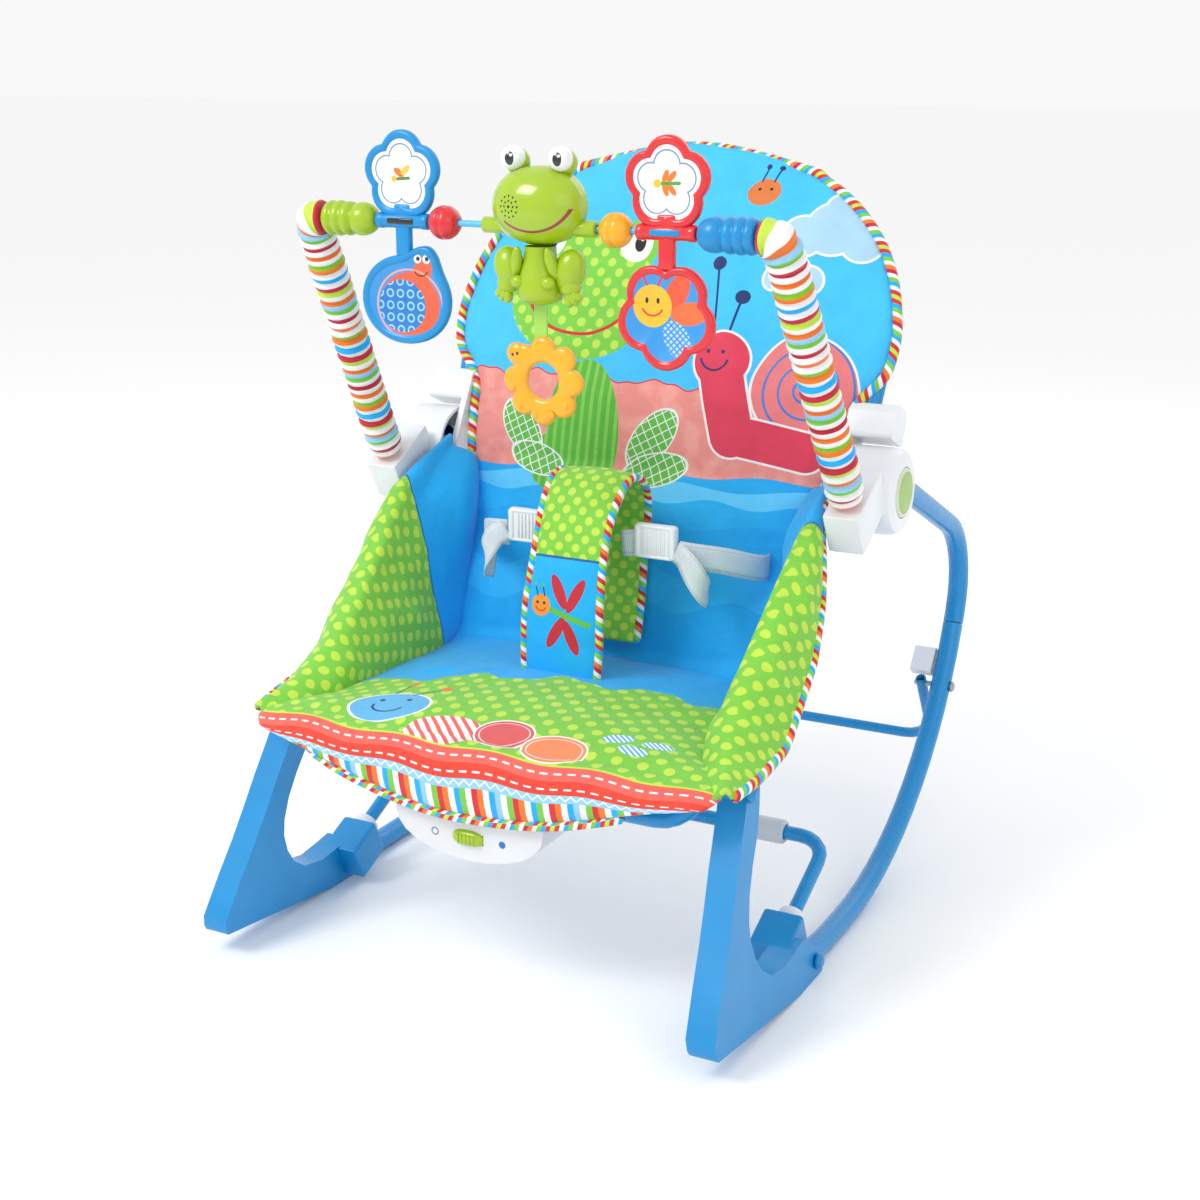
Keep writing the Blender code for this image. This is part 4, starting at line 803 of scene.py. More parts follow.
SIDE = side_print()
for side, sign in SIDES:
    count, across = 96, 44
    lines = [eased(line, count) for line in SIDE_LINES]
    points = np.zeros((count, across, 3))
    flat = np.zeros((count, across, 2))
    for i in range(count):
        t = i / (count - 1)
        section, far = fitted([line[i] for line in lines], across)
        crest = far[np.argmin(np.linalg.norm(section - lines[2][i], axis=1))]
        wing = 0.015 * math.exp(-((t - 0.12) / 0.13) ** 2)
        puff = wing + 0.004 * math.sin(math.pi * min(1.0, max(0.0, (t - 0.25) / 0.6)))
        for j in range(across):
            p = section[j].copy()
            if far[j] < crest:
                q = far[j] / crest
                full = math.sin(math.pi * min(1.0, q / 0.8))
                p += np.array([-1, -0.35 if t < 0.4 else 0, 0.3]) * puff * full
                p += np.array([-1, 0, 0.5]) * 0.0035 * rumple(t * 0.36, far[j], 26, 3.0) * full
            else:
                q = (far[j] - crest) / max(far[-1] - crest, 1e-6)
                p += np.array([1, 0, 0.2]) * 0.0022 * rumple(t * 0.36, far[j], 34, 5.0) * math.sin(math.pi * q)
            points[i, j] = p * np.array([sign, 1, 1])
            flat[i, j] = (t * 0.36, crest - far[j])
    panel = piece(f"{side}_side_cover", surface("side", points, flat), [SIDE])
    solid = panel.modifiers.new("thickness", "SOLIDIFY")
    solid.thickness = 0.0035
    solid.offset = 0.0
    with bpy.context.temp_override(object=panel, active_object=panel):
        bpy.ops.object.modifier_apply(modifier="thickness")
    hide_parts(f"{side}_side_panel")
    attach(panel, "base")
    edge = [tuple(points[i, -1]) for i in range(0, count, 3)] + [tuple(points[-1, -1])]
    tube(f"{side}_side_piping", edge, 0.0040, PIPING, "base", slot=f"{side}_side_panel")


# --- crotch pad ---
PAD = [(-0.1010, 0.2120), (-0.0985, 0.2450), (-0.0950, 0.2810), (-0.0780, 0.3360), (-0.0580, 0.3650), (-0.0350, 0.3750),
       (-0.0140, 0.3630), (-0.0060, 0.3360), (-0.0140, 0.2810), (-0.0300, 0.2310)]


def pad_print():
    p = fabric("crotch_pad_print", SEAT_BLUE)
    p.over(p.less(0.104, p.y), GREEN)
    p.over(p.both(p.less(0.104, p.y), p.dots(0.0150, 0.0034)), DOT)
    p.over(p.band(p.y, 0.1025, 0.1045), srgb(20, 96, 160))
    # a dragonfly
    for x, v, turn in ((-0.002, 0.076, 118), (0.013, 0.074, 66), (-0.003, 0.043, -118), (0.011, 0.040, -66)):
        p.over(p.ellipse((x, v), (0.0150, 0.0048), turn), srgb(198, 36, 52))
    p.over(p.stroke((-0.012, 0.062), (0.026, 0.052), 0.0022), srgb(96, 190, 60))
    p.over(p.disc((-0.018, 0.0635), 0.0088), srgb(246, 150, 44))
    for x in (-0.0215, -0.0150):
        p.over(p.disc((x, 0.0655), 0.0012), BLACK)
        p.over(p.stroke((x, 0.0710), (x * 1.15, 0.0790), 0.0005), BLACK)
        p.over(p.disc((x * 1.15, 0.0795), 0.0014), srgb(96, 190, 60))
    p.over(p.both(p.ring((-0.018, 0.0635), (0.0050, 0.0045), 0.0010), p.less(p.y, 0.0622)), RED)
    return p.cloth(0.0009)


pad_line, pad_far = smooth_path([(0, y, z) for y, z in PAD], 0.0028)
ahead = headings(pad_line[:, 1:3])
half = 22
k = np.sin(np.linspace(-1, 1, half) * math.pi / 2)
cols = 2 * half - 2
points = np.zeros((len(pad_line), cols, 3))
flat = np.zeros((len(pad_line), cols + 1, 2))
held = []
for i, ((_, y, z), v, (dy, dz)) in enumerate(zip(pad_line, pad_far, ahead)):
    width = 0.0325 + 0.0015 * math.sin(v * 40)
    out = np.array([0, -dz, dy])
    groove = 0.0022 * math.exp(-((v - PAD_SEAM) / 0.003) ** 2)
    for j in range(cols):
        t = k[j] if j < half else k[2 * half - 2 - j]
        n = 0.0048 * math.sqrt(max(0.0, 1 - abs(t) ** 3)) - groove * (1 - t * t)
        n += 0.0012 * rumple(t * 0.03, v, 40, 2.0) * (1 - t * t)
        points[i, j] = np.array([t * width, y, z]) + out * (n if j < half else -n)
        flat[i, j] = (t * width, v)
        if abs(t) > 0.9 or i < 2 or i > len(pad_line) - 3 or abs(v - PAD_SEAM) < 0.002:
            held.append(i * cols + j)
    flat[i, cols] = flat[i, 0]
pad = piece("crotch_pad_cover", surface("pad", points, flat, wrap=True, caps=True), [pad_print()],
            replaces=("crotch_pad",), slot="crotch_pad")
puffed(pad, held, PAD_SWELL)
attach(pad, "base")
for side, sign in SIDES:
    column = half - 1 if sign > 0 else 0
    line = [tuple(points[i, column] + np.array([sign * 0.0006, 0, 0])) for i in range(0, len(pad_line), 4)]
    tube(f"{side}_pad_piping", line, 0.0034, PIPING, "base", slot="crotch_pad")


# --- harness ---
def webbing():
    p = fabric("webbing", srgb(226, 234, 244))
    rib = p.ribs(p.y, 0.0016)
    p.over(p.either(p.band(p.x, -0.0085, -0.0078), p.band(p.x, 0.0078, 0.0085)), srgb(196, 208, 224))
    p.shade(p.noise(80, 3), 0.93, 1.04)
    return p.done(((rib, 0.0003, 0.6), (p.noise(300, 2), 0.0003, 0.3)))


WEB = webbing()


def strap(name, path, width, body, thick=0.0016, lean=(0, 0, 1), **kw):
    """A flat woven strap along a path; lean is the way its width runs."""
    line, far = smooth_path(path, 0.003)
    going = headings(line)
    loop = [(-1, -1), (-0.5, -1), (0, -1), (0.5, -1), (1, -1), (1, 1), (0.5, 1), (0, 1), (-0.5, 1), (-1, 1)]
    points, flat = [], []
    for p, a, s in zip(line, going, far):
        w = np.array(lean, float)
        w = w - a * (w @ a)
        w /= np.linalg.norm(w)
        n = np.cross(a, w)
        points.append([p + w * i * width / 2 + n * j * thick / 2 * (1 - 0.35 * (abs(i) == 1)) for i, j in loop])
        flat.append([(i * width / 2, s) for i, j in loop] + [(-width / 2, s)])
    return piece(name, surface(name, np.array(points), np.array(flat), wrap=True, caps=True), [WEB], body, **kw)


for side, sign in SIDES:
    belt = [(sign * 0.0800, -0.0455, 0.318), (sign * 0.0930, -0.0410, 0.316), (sign * 0.1120, -0.0250, 0.311),
            (sign * 0.1260, -0.0070, 0.304), (sign * 0.1330, 0.0070, 0.300), (sign * 0.1340, 0.0180, 0.299)]
    strap(f"{side}_webbing", belt, 0.022, "base", replaces=(f"{side}_waist_belt",), slot=f"{side}_waist_belt")
    tail = [(sign * 0.0790, -0.0490, 0.321), (sign * 0.0900, -0.0520, 0.314), (sign * 0.0990, -0.0500, 0.299),
            (sign * 0.1030, -0.0430, 0.286), (sign * 0.1010, -0.0330, 0.282)]
    strap(f"{side}_webbing_tail", tail, 0.019, "base", slot=f"{side}_waist_belt")
    # tab from the pad to the buckle
    tab = [(sign * 0.0300, -0.0480, 0.322), (sign * 0.0380, -0.0470, 0.323), (sign * 0.0440, -0.0455, 0.324)]
    strap(f"{side}_buckle_tab", tab, 0.022, "base", slot=f"{side}_waist_belt")


def rounded_box(size, centre, bevel=0.0015, steps=3, turn=0.0):
    bm = bmesh.new()
    bmesh.ops.create_cube(bm, size=1.0)
    bmesh.ops.scale(bm, vec=size, verts=bm.verts)
    bmesh.ops.bevel(bm, geom=list(bm.edges), offset=min(bevel, min(size) * 0.45), segments=steps,
                      profile=0.5, affect="EDGES")
    bmesh.ops.rotate(bm, cent=(0, 0, 0), matrix=Matrix.Rotation(turn, 3, "X"), verts=bm.verts)
    bmesh.ops.translate(bm, vec=centre, verts=bm.verts)
    mesh = bpy.data.meshes.new("box")
    bm.to_mesh(mesh)
    mesh.uv_layers.new(name="UV")
    bm.free()
    return mesh


for side, _ in SIDES:
    low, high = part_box(f"{side}_buckle")
    mid = (low + high) / 2
    parts = [(rounded_box((0.0375, 0.0080, 0.0290), mid, 0.0030), PLASTICS["white"])]
    for i in range(6):
        x = mid.x + (i - 2.5) * 0.0034
        parts.append((rounded_box((0.0018, 0.0100, 0.0215), (x, mid.y, mid.z), 0.0008, 2), PLASTICS["white"]))
    for dx in (-0.0155, 0.0155):
        parts.append((rounded_box((0.0055, 0.0105, 0.0270), (mid.x + dx, mid.y, mid.z), 0.0020), PLASTICS["white"]))
    for dz in (-0.0125, 0.0125):
        parts.append((rounded_box((0.0330, 0.0095, 0.0030), (mid.x, mid.y, mid.z + dz), 0.0012), PLASTICS["white"]))
    merged(f"{side}_ribbed_buckle", parts, "base", (f"{side}_buckle",))


# --- toy arms ---
def sleeve_print():
    p = fabric("striped_sleeve", WHITE)
    line = p.math("ADD", p.x, p.math("MULTIPLY", p.noise(60, 1), 0.0016))
    p.over(1.0, p.stripes(line, 0.0700, [ORANGE, WHITE, CRIMSON, WHITE, GREEN, PALE_BLUE, ORANGE, WHITE, DOT, CRIMSON,
                                        WHITE, SEAT_BLUE, WHITE, ORANGE, LIME, WHITE]))
    p.shade(p.noise(60, 3), 0.9, 1.05)
    thread = p.ribs(p.y, 0.0012)
    return p.done(((p.noise(70, 3), 0.003, 0.5), (thread, 0.0001, 0.3)))


SLEEVE = sleeve_print()
lean = np.array([0, -math.sin(TOY_LEAN), math.cos(TOY_LEAN)])
for side, sign in SIDES:
    base = np.array([sign * ARM_X, -0.0233, 0.3704])
    up = [base + lean * d for d in (0.002, 0.012, 0.030)]
    corner = np.array([sign * ARM_CORNER_X, ROD_Y, ROD_Z])
    path = up + [up[-1] * (1 - q) + corner * q for q in (0.25, 0.5, 0.75, 0.92)]
    path += [corner + np.array([-sign * 0.0035, 0.0, -0.002]), np.array([sign * 0.1860, ROD_Y, ROD_Z])]

    def gathers(s, full):
        end = min(1.0, s / 0.010, (full - s) / 0.008)
        ridge = abs(math.sin(s * math.pi / 0.0088 + 0.5 * math.sin(s * 60)))
        return (0.0122 + 0.0032 * ridge ** 0.6) * (0.80 + 0.20 * max(0.0, end))

    arm = tube(f"{side}_arm_sleeve", path, 0.0135, SLEEVE, "toy_bar", 28, 0.0011,
               (f"{side}_toy_arm",), f"{side}_toy_arm", gathers)
    peg = [(0.0010, -0.0240), (0.0048, -0.0238), (0.0059, -0.0228), (0.0059, -0.0160),
           (0.0054, -0.0155), (0.0054, -0.0145), (0.0059, -0.0140), (0.0059, 0.0060)]
    piece(f"{side}_arm_peg", lathe(peg, base, lean, 28), [PLASTICS["white"]], "toy_bar", slot=f"{side}_toy_arm")

# knobs, with ridges outside and a ball inside
KNOB = [(0, 0.0469), (0.0070, 0.0468), (0.0110, 0.0460), (0.0128, 0.0440), (0.0136, 0.0415), (0.0130, 0.0392),
        (0.0112, 0.0378),
        (0.0130, 0.0364), (0.0139, 0.0335), (0.0130, 0.0306), (0.0112, 0.0292), (0.0128, 0.0278), (0.0134, 0.0250),
        (0.0126, 0.0222), (0.0105, 0.0208), (0.0104, 0.0196), (0.0122, 0.0180), (0.0131, 0.0140), (0.0129, 0.0100),
        (0.0116, 0.0060), (0.0092, 0.0026), (0.0062, 0.0006), (0.0030, 0.0002)]
for side, sign in SIDES:
    mesh = lathe(KNOB, (sign * KNOB_X, ROD_Y, ROD_Z), (sign, 0, 0), 48)
    look = PLASTICS["green" if sign < 0 else "blue"]
    piece(f"{side}_ridged_knob", mesh, [look], "toy_bar", (f"{side}_knob",), f"{side}_knob")

BEAD = [(0.0030, -0.0125), (0.0060, -0.0118), (0.0100, -0.0086), (0.0124, -0.0046), (0.0130, -0.0012),
        (0.0122, -0.0006),
        (0.0122, 0.0006), (0.0130, 0.0012), (0.0124, 0.0046), (0.0100, 0.0086), (0.0060, 0.0118), (0.0030, 0.0125)]
for name, x, look, body in (("red_bead", -0.0755, "red", "red_bead_toy"),
                            ("yellow_bead", 0.0715, "yellow", "yellow_bead_toy")):
    piece(f"{name}_ball", lathe(BEAD, (x, ROD_Y, ROD_Z), (1, 0, 0), 36), [PLASTICS[look]], body, (name,), name)


# --- spinning plates ---
def outlined(radius, centre, steps=96, rim=0.0062, deep=0.0016):
    """A plate in the XZ plane with a rounded rim standing round a sunk face, on both sides."""
    half_y = 0.0039
    inside = [(1.0, half_y - deep), (rim + 0.0006, half_y - deep), (rim, half_y - deep + 0.0004),
              (rim - 0.0012, half_y - 0.0001),
              (rim - 0.0026, half_y), (0.0022, half_y), (0.0008, half_y - 0.0008), (0.0, half_y - 0.0022)]
    rings = inside + [(d, -y) for d, y in inside[::-1]]
    angles = np.linspace(0, 2 * math.pi, steps, endpoint=False)
    points = np.zeros((len(rings), steps, 3))
    for i, (d, y) in enumerate(rings):
        for j, t in enumerate(angles):
            r = 0.0004 if d == 1.0 else radius(t) - d
            points[i, j] = (centre[0] + r * math.cos(t), ROD_Y + y, centre[1] + r * math.sin(t))
    flat = np.zeros((len(rings), steps + 1, 2))
    mesh = surface("plate", points, flat, wrap=True)
    for f in mesh.polygons:
        row = f.index // steps
        f.material_index = 1 if row in (0, len(rings) - 2) else 0
    return mesh


def lobes(reach, r, count, phase):
    """The outline of that many discs of radius r round a centre."""
    def radius(t):
        a = (t - phase + math.pi / count) % (math.tau / count) - math.pi / count
        return reach * math.cos(a) + math.sqrt(r * r - (reach * math.sin(a)) ** 2)
    return radius


def inset_print(name, ground):
    return Paint(name, ground, 0.35, "XZ", Coat_Weight=0.3, Coat_Roughness=0.15)


def printed(p):
    p.shade(p.noise(60, 2), 0.96, 1.04)
    return p.done(((p.noise(300, 2), 0.00008, 0.3),))


def cloud_print(side, x, z, wings, stem, head):
    """A white cloud with a blue outline and a small flying insect."""
    p = inset_print(f"{side}_cloud_print", WHITE)
    for grow, colour in ((0.0012, srgb(120, 150, 190)), (0.0, WHITE)):
        for i in range(5):
            a = math.pi / 2 + i * math.tau / 5
            p.over(p.disc((x + 0.0132 * math.cos(a), z + 0.0132 * math.sin(a)), 0.0098 + grow), colour)
    p.over(p.disc((x, z), 0.0130), WHITE)
    for dx, dz, size, turn, colour in wings:
        p.over(p.ellipse((x + dx, z + dz), size, turn), colour)
    (ax, az), (bx, bz), r, colour = stem
    p.over(p.stroke((x + ax, z + az), (x + bx, z + bz), r), colour)
    dx, dz, r, colour = head
    p.over(p.disc((x + dx, z + dz), r), colour)
    return printed(p)


def snail_plate_print(x, z):
    p = inset_print("snail_plate_print", srgb(40, 148, 222))
    for dx, dz, size, turn in ((0.004, -0.004, (0.0275, 0.0255), 10), (0.015, 0.020, (0.0085, 0.0150), -25)):
        p.over(p.ellipse((x + dx, z + dz), size, turn), srgb(236, 92, 52))
    inlay = p.ellipse((x - 0.003, z - 0.005), (0.0215, 0.0205))
    p.over(inlay, srgb(30, 120, 205))
    cell = p.vector("FRACTION", p.local((x, z), (0.0094, 0.0094)))
    rings = p.math("COMPARE", p.vector("DISTANCE", cell, (0.5, 0.5, 0)), 0.30, 0.07)
    p.over(p.both(inlay, rings), srgb(150, 214, 246))
    p.over(p.ring((x + 0.004, z - 0.004), (0.0300, 0.0275), 0.0016), srgb(250, 170, 140), 0.8)
    for dx in (0.0120, 0.0200):
        p.over(p.disc((x + dx, z + 0.0320), 0.0034), WHITE)
        p.over(p.disc((x + dx + 0.0004, z + 0.0322), 0.0017), BLACK)
    smile = p.ring((x + 0.0150, z + 0.0240), (0.0060, 0.0050), 0.0010)
    p.over(p.both(smile, p.less(p.y, z + 0.0225)), BLACK)
    return printed(p)


def flower_plate_print(x, z):
    p = inset_print("flower_plate_print", srgb(44, 150, 226))
    for a, colour in ((62, srgb(240, 84, 44)), (8, srgb(244, 108, 50))):
        a = math.radians(a)
        petal_at = (x + 0.0195 * math.cos(a), z + 0.0195 * math.sin(a))
        p.over(p.ellipse(petal_at, (0.0150, 0.0085), math.degrees(a)), colour)
    petal = p.ellipse((x + 0.010, z - 0.0175), (0.0160, 0.0100), -60)
    p.over(petal, srgb(170, 216, 246))
    p.over(p.both(petal, p.grid(0.0034, 0.0012, 45)), srgb(60, 140, 220))
    face_x = x - 0.0105
    p.over(p.disc((face_x, z + 0.0070), 0.0155), srgb(250, 190, 30))
    for dx in (-0.0045, 0.0045):
        p.over(p.ellipse((face_x + dx, z + 0.0110), (0.0013, 0.0022)), BLACK)
        p.over(p.stroke((face_x + dx, z + 0.0225), (face_x + dx * 1.6, z + 0.0275), 0.0009), RED)
    p.over(p.both(p.ring((face_x, z + 0.0075), (0.0085, 0.0075), 0.0014), p.less(p.y, z + 0.0050)), RED)
    return printed(p)


def snail_outline(t):
    """A disc with a bump for the snail's head, 62 degrees up."""
    from_head = (math.degrees(t if t < 4 else t - math.tau) - 62) / 20
    return 0.0375 + 0.011 * math.exp(-from_head ** 2) + 0.003 * math.cos(2 * t)


CLOUD = lobes(0.0160, 0.0182, 5, math.pi / 2)
FLOWER = lobes(0.0195, 0.0205, 5, math.radians(126))
INSECTS = {
    "left": (((-0.002, 0.002, (0.0052, 0.0026), -35, ORANGE), (0.004, 0.004, (0.0050, 0.0024), 40, srgb(250, 200, 60))),
             ((-0.006, -0.003), (0.007, -0.002), 0.0012, srgb(80, 140, 60)),
             (-0.0065, -0.0028, 0.0024, srgb(250, 190, 40))),
    "right": ([(dx, dz, (0.0052, 0.0022), turn, ORANGE) for dx, dz, turn in
               ((-0.001, 0.005, 70), (0.004, 0.005, 50), (-0.001, -0.004, -70), (0.004, -0.004, -50))],
              ((-0.006, 0.0), (0.010, 0.0005), 0.0013, srgb(80, 170, 60)), (-0.0075, 0.0, 0.0030, YELLOW))}
BARREL = [(0.0032, 0.0), (0.0056, 0.0004), (0.0062, 0.0016), (0.0062, 0.0060), (0.0057, 0.0068), (0.0057, 0.0412),
          (0.0062, 0.0420), (0.0062, 0.0464), (0.0056, 0.0476), (0.0032, 0.0480)]
for side, sign in SIDES:
    x, up_z = sign * SPIN_X, ROD_Z + PLATE_UP
    if sign < 0:
        look, window, start = PLASTICS["blue"], PLASTICS["black"], -0.1370
        low_at = (x + 0.001, ROD_Z - PLATE_DOWN)
        outline, low_print = snail_outline, snail_plate_print(*low_at)
    else:
        look, window, start = PLASTICS["red"], PLASTICS["blue"], 0.0890
        low_at = (x, ROD_Z - FLOWER_DOWN)
        outline, low_print = FLOWER, flower_plate_print(*low_at)
    merged(f"{side}_spinning_plates", [
        (outlined(CLOUD, (x, up_z)), [look, cloud_print(side, x, up_z, *INSECTS[side])]),
        (outlined(outline, low_at), [look, low_print]),
        (lathe(BARREL, (start, ROD_Y, ROD_Z), (1, 0, 0), 32), look),
        (rounded_box((0.0240, 0.0020, 0.0046), (x, ROD_Y - 0.0052, ROD_Z), 0.0009, 2), window),
        (rounded_box((0.0130, 0.0070, 0.0240), (x, ROD_Y, ROD_Z - 0.0150), 0.0022), look),
        (rounded_box((0.0150, 0.0070, 0.0120), (x, ROD_Y, ROD_Z + 0.0070), 0.0022), look)],
           f"{side}_spinner_toy", (f"{side}_spinner",))


# --- frog ---
HEAD_Z = ROD_Z + 0.017


def frog_face():
    p = Paint("frog_face", TOY_GREEN, 0.22, "XZ", Coat_Weight=0.5, Coat_Roughness=0.08)
    front = p.less(p.depth, ROD_Y)
    holes = [p.disc((FROG_X - 0.0120, HEAD_Z - 0.0010), 0.0011)]
    for ring, count in ((0.0042, 8), (0.0078, 12)):
        for i in range(count):
            a = math.tau * i / count
            holes.append(p.disc((FROG_X - 0.0120 + ring * math.cos(a), HEAD_Z - 0.0010 + ring * math.sin(a)), 0.0008))
    hole = p.both(front, p.either(*holes))
    smile = p.both(p.ring((FROG_X + 0.0040, HEAD_Z + 0.0060), (0.0310, 0.0250), 0.0018), p.less(p.y, HEAD_Z - 0.0020))
    smile = p.both(front, p.both(smile, p.less(FROG_X - 0.0180, p.x)))
    p.shade(p.noise(26, 3), 0.95, 1.05)
    p.over(smile, srgb(150, 40, 30))
    # painted shade: the speaker holes are black dots over shallow dents, the black standing for the shade inside the
    # holes
    p.over(hole, BLACK)
    return p.done(((p.math("MULTIPLY", p.either(hole, smile), -1.0), 0.0012, 0.8), (p.noise(20, 2), 0.0006, 0.1)))


def head_shape(v):
    v = v.copy()
    wide = 1.0 + 0.10 * max(0.0, -v.z) - 0.05 * max(0.0, v.z)
    v.x *= wide
    v.x = math.copysign(abs(v.x) ** 0.92, v.x)
    v.z *= 1.0 - 0.08 * (1 - v.x * v.x) * (v.z > 0)
    seam = 1.0 - 0.022 * math.exp(-(v.y / 0.03) ** 2)
    return v * seam


green = PLASTICS["green"]
head_parts = [(blob((FROG_X, ROD_Y, HEAD_Z), (0.0378, 0.0277, 0.0302), shape=head_shape, steps=64), frog_face())]
for sx in (-1, 1):
    ex, ez = FROG_X + sx * 0.020, ROD_Z + 0.050
    eye = Paint(f"frog_eye_{'left' if sx < 0 else 'right'}", WHITE, 0.12, "XZ", Coat_Weight=0.7, Coat_Roughness=0.05)
    eye.over(eye.both(eye.less(eye.depth, ROD_Y - 0.005), eye.ellipse((ex + 0.0015, ez), (0.0034, 0.0050))), BLACK)
    eye.over(eye.disc((ex + 0.0028, ez + 0.0024), 0.0011), WHITE)
    head_parts.append((blob((ex, ROD_Y - 0.0045, ez), (0.0094, 0.0094, 0.0094), steps=32), printed(eye)))
    head_parts.append((blob((ex, ROD_Y + 0.0025, ez - 0.003), (0.0098, 0.0085, 0.0100), steps=24), green))
stub = [(0.0032, 0.0), (0.0052, 0.0003), (0.0060, 0.0012), (0.0060, 0.016), (0.0060, 0.024)]
head_parts.append((lathe(stub, (-0.0408, ROD_Y, ROD_Z), (1, 0, 0), 28), green))
head_parts.append((lathe(stub, (0.0558, ROD_Y, ROD_Z), (-1, 0, 0), 28), green))
merged("frog_head_shell", head_parts, "toy_bar", ("frog_head", "frog_back"))

torso = [(0.0045, -0.0562), (0.0120, -0.0560), (0.0165, -0.0535), (0.0180, -0.0480), (0.0172, -0.0400),
         (0.0145, -0.0300), (0.0125, -0.0220), (0.0120, -0.0140)]
body_parts = [(lathe(torso, (FROG_X, ROD_Y, ROD_Z), (0, 0, 1), 40), green)]


def limb(x, y, z, radii, turn=(0, 0, 0), steps=32):
    """A rounded part of the frog, placed from the rod above its middle."""
    body_parts.append((blob((FROG_X + x, ROD_Y + y, ROD_Z + z), radii, turn, steps), green))


for sx in (-1, 1):
    limb(sx * 0.0255, -0.001, -0.0310, (0.0125, 0.0105, 0.0165), (0, sx * 0.35, 0))
    limb(sx * 0.0150, -0.010, -0.0260, (0.0045, 0.0045, 0.0130), (0.25, -sx * 0.2, 0))
    limb(sx * 0.0130, -0.012, -0.0400, (0.0058, 0.0050, 0.0050))
    for toe in (-1, 0, 1):
        a = sx * 0.55 + toe * 0.42
        limb(sx * 0.0250 + math.sin(a) * 0.0085, -0.0035, -0.0445 - math.cos(a) * 0.0075,
             (0.0036, 0.0040, 0.0062), (0, -a, 0), 20)
    limb(sx * 0.0265, -0.0025, -0.0430, (0.0092, 0.0070, 0.0072))
merged("frog_body_shell", body_parts, "toy_bar", ("frog_body",))

# teether: a bumpy ring with a bug's head
RING = (FROG_X + 0.002, ROD_Z - 0.1155)
angles = np.linspace(0, math.tau, 144, endpoint=False)
tubes = np.linspace(0, math.tau, 20, endpoint=False)
points = np.zeros((len(angles), len(tubes), 3))
for i, a in enumerate(angles):
    bump = abs(math.cos(a * 4))
    outer, inner = 0.0268 + 0.0075 * bump ** 0.7, 0.0140
    mid, wide = (outer + inner) / 2, (outer - inner) / 2
    for j, t in enumerate(tubes):
        r = mid + wide * math.copysign(abs(math.cos(t)) ** 0.8, math.cos(t))
        y = 0.0048 * math.copysign(abs(math.sin(t)) ** 0.7, math.sin(t)) * (0.80 + 0.20 * bump)
        points[i, j] = (RING[0] + r * math.cos(a), ROD_Y + y, RING[1] + r * math.sin(a))
points = np.concatenate([points, points[:1]])
ring_mesh = surface("ring", points, np.zeros((len(points), len(tubes) + 1, 2)), wrap=True)
yellow = PLASTICS["yellow"]
ring_parts = [(ring_mesh, yellow)]


def knob(dx, dy, dz, radii, turn=(0, 0, 0), steps=16, look=yellow):
    """A rounded part of the teether, placed from the ring's centre."""
    ring_parts.append((blob((RING[0] + dx, ROD_Y + dy, RING[1] + dz), radii, turn, steps), look))


knob(-0.0215, -0.001, 0.0190, (0.0100, 0.0048, 0.0088), (0, 0.6, 0), 32)
for dx, dz in ((-0.0285, 0.0205), (-0.0215, 0.0255)):
    knob(dx, -0.001, dz, (0.0030, 0.0030, 0.0030))
for dx, dz in ((-0.0240, 0.0205), (-0.0200, 0.0215)):
    knob(dx, -0.0056, dz - 0.001, (0.0011, 0.0007, 0.0013), steps=12, look=PLASTICS["black"])
for i in range(5):
    a = -0.7 - i * 0.55
    knob(0.0265 * math.cos(a), -0.0044, 0.0265 * math.sin(a), (0.0030, 0.0012, 0.0030))
merged("teether_ring", ring_parts, "ring", ("teether",))


low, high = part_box("vibration_switch")
mid = (low + high) / 2


def key_shape(v):
    """An egg pressed towards a long rounded key."""
    return Vector((math.copysign(abs(v.x) ** 0.7, v.x), v.y, math.copysign(abs(v.z) ** 0.8, v.z)))


key_parts = [(blob(mid, (0.0138, 0.0054, 0.0066), shape=key_shape, steps=40), green)]
for i in range(-2, 3):
    rib_at = (mid.x + i * 0.0034, mid.y - 0.0049, mid.z)
    key_parts.append((rounded_box((0.0011, 0.0020, 0.0080), rib_at, 0.0005, 2), green))
merged("switch_key", key_parts, "switch", ("vibration_switch",))


# --- the rest of the moulded parts and tubes ---
def soften(o, width, limit=38):
    """Rounds a CAD part's edges with modifiers, and leaves its mesh as it is."""
    mesh = o.data
    for name in ("custom_normal", "sharp_edge"):
        if name in mesh.attributes:
            mesh.attributes.remove(mesh.attributes[name])
    mesh.polygons.foreach_set("use_smooth", [True] * len(mesh.polygons))
    o.modifiers.new("weld", "WELD").merge_threshold = 0.00003
    if width:
        b = o.modifiers.new("bevel", "BEVEL")
        b.width = width
        b.segments = 2
        b.limit_method = "ANGLE"
        b.angle_limit = math.radians(limit)
        b.harden_normals = False
    o.modifiers.new("normals", "WEIGHTED_NORMAL").keep_sharp = True


def button_look(sign):
    p = Paint(f"button_{'left' if sign < 0 else 'right'}", srgb(140, 190, 40), 0.28, "Object",
              Coat_Weight=0.3, Coat_Roughness=0.1)
    around = p.node("ShaderNodeCombineXYZ", [p.y, p.z]).outputs[0]
    far = p.vector("DISTANCE", around, (HUB_Y, HUB_Z, 0))
    p.over(p.less(BUTTON_RIM, far), srgb(214, 226, 200))
    p.over(p.band(far, 0.0166, 0.0173), srgb(96, 140, 30))
    p.shade(p.noise(30, 3), 0.94, 1.05)
    ridge = p.ribs(far, 0.0040)
    return p.done(((ridge, 0.0003, 0.25), (p.noise(600, 1), 0.00005, 0.3)))


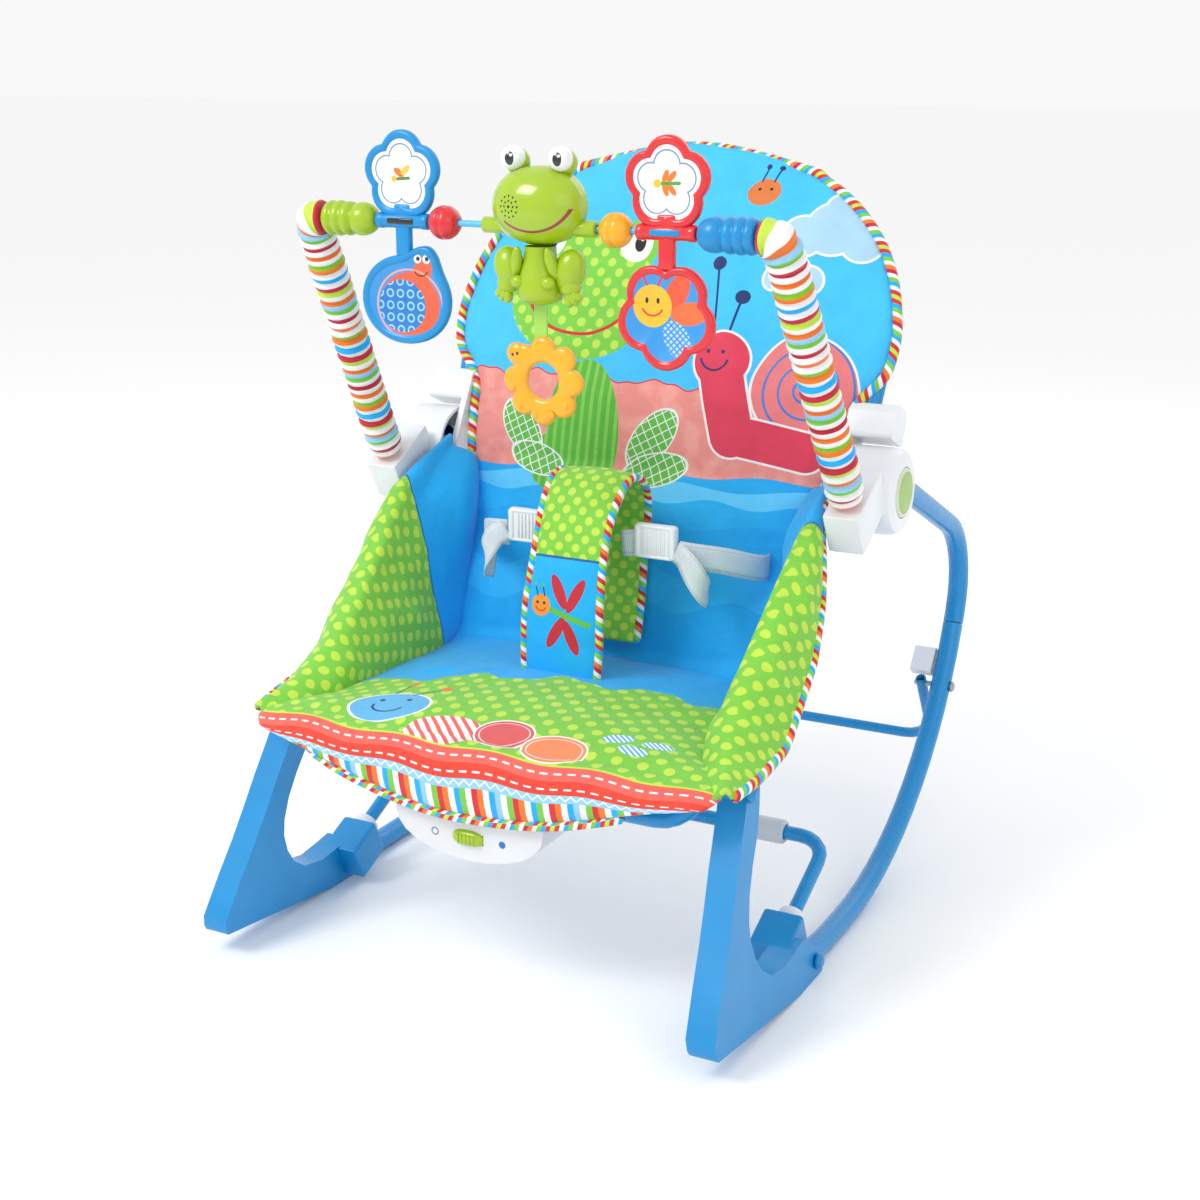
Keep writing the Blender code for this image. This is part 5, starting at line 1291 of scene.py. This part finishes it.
def housing_look():
    p = Paint("housing_shell", srgb(226, 229, 234), 0.4, "XZ", Coat_Weight=0.1, Coat_Roughness=0.2)
    p.over(p.ring((-0.030, 0.1310), (0.0028, 0.0028), 0.0010), srgb(90, 110, 150))
    p.over(p.disc((0.030, 0.1310), 0.0030), srgb(40, 110, 200))
    p.shade(p.noise(30, 3), 0.95, 1.03)
    return p.done(((p.noise(900, 1), 0.0001, 0.4),))


LOOKS = {}
for side, sign in SIDES:
    LOOKS.update({f"{side}_foot": "blue", f"{side}_hub_shell": "white", f"{side}_back_bracket": "white",
                  f"{side}_brace_sleeve": "grey", f"{side}_brace_collar": "white", f"{side}_leg_bolt": "blue",
                  f"{side}_rail_bolt": "blue", f"{side}_kickstand_bolt": "steel", f"{side}_kickstand_pad": "white"})
    LOOKS[f"{side}_recline_button"] = button_look(sign)
LOOKS.update({"vibration_housing": housing_look(), "battery_door": "grey", "battery": "black",
              "vibration_motor": "steel",
              "vibration_switch": "green", "sound_module": "grey", "pull_strap": "pale", "toy_rod": PALE_ROD})
TUBES = [n for n in NODES if n.endswith(("_rail_front", "_rail_rear", "_brace_tube")) or n in
         ("seat_tube", "back_tube", "brace_crossbar", "kickstand_tube")]
for name, o in NODES.items():
    if o.hide_render:
        continue
    look = LOOKS.get(name, TUBE_BLUE if name in TUBES else PLASTICS["blue"])
    look = PLASTICS[look] if isinstance(look, str) else look
    o.data.materials.clear()
    o.data.materials.append(look)
    small = 0.0004 if "bolt" in name or name in ("pull_strap", "toy_rod") else 0.0009
    soften(o, 0.0 if name in TUBES or name == "toy_rod" else small)


# --- stage, light and camera ---
def ground():
    mesh = bpy.data.meshes.new("floor")
    mesh.from_pydata([(-30, -30, 0), (30, -30, 0), (30, 30, 0), (-30, 30, 0)], [], [(0, 1, 2, 3)])
    floor = placed("floor", mesh)
    p = Paint("pale_floor", (0.97, 0.97, 0.97), 0.8, "Object")
    mesh.materials.append(p.done())
    floor.location.z = -0.0004
    floor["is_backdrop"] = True


ground()
world = bpy.data.worlds.new("studio")
bpy.context.scene.world = world
world.use_nodes = True
world.node_tree.nodes["Background"].inputs[0].default_value = (1.0, 1.0, 1.0, 1.0)
world.node_tree.nodes["Background"].inputs[1].default_value = 0.95


def light(name, place, aim, size, power):
    lamp = bpy.data.lights.new(name, "AREA")
    lamp.size = size
    lamp.energy = power
    o = placed(name, lamp)
    o.location = place
    o.rotation_euler = (Vector(aim) - Vector(place)).to_track_quat("-Z", "Y").to_euler()


light("key", (-0.9, -1.6, 2.0), (0, 0, 0.3), 0.9, 26)
light("fill", (1.9, -1.2, 1.3), (0, 0, 0.3), 1.6, 5)
light("rim", (0.4, 1.8, 1.7), (0, 0, 0.4), 1.4, 5)

view = bpy.data.cameras.new("camera")
view.lens = 55.5
view.sensor_width = 36.0
camera = placed("camera", view)
camera.location = (0.694, -1.3655, 0.7014)
camera.rotation_euler = (math.radians(73.81), 0.0, math.radians(27.46))
bpy.context.scene.camera = camera
bpy.context.scene.view_settings.view_transform = "Standard"

low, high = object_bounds()
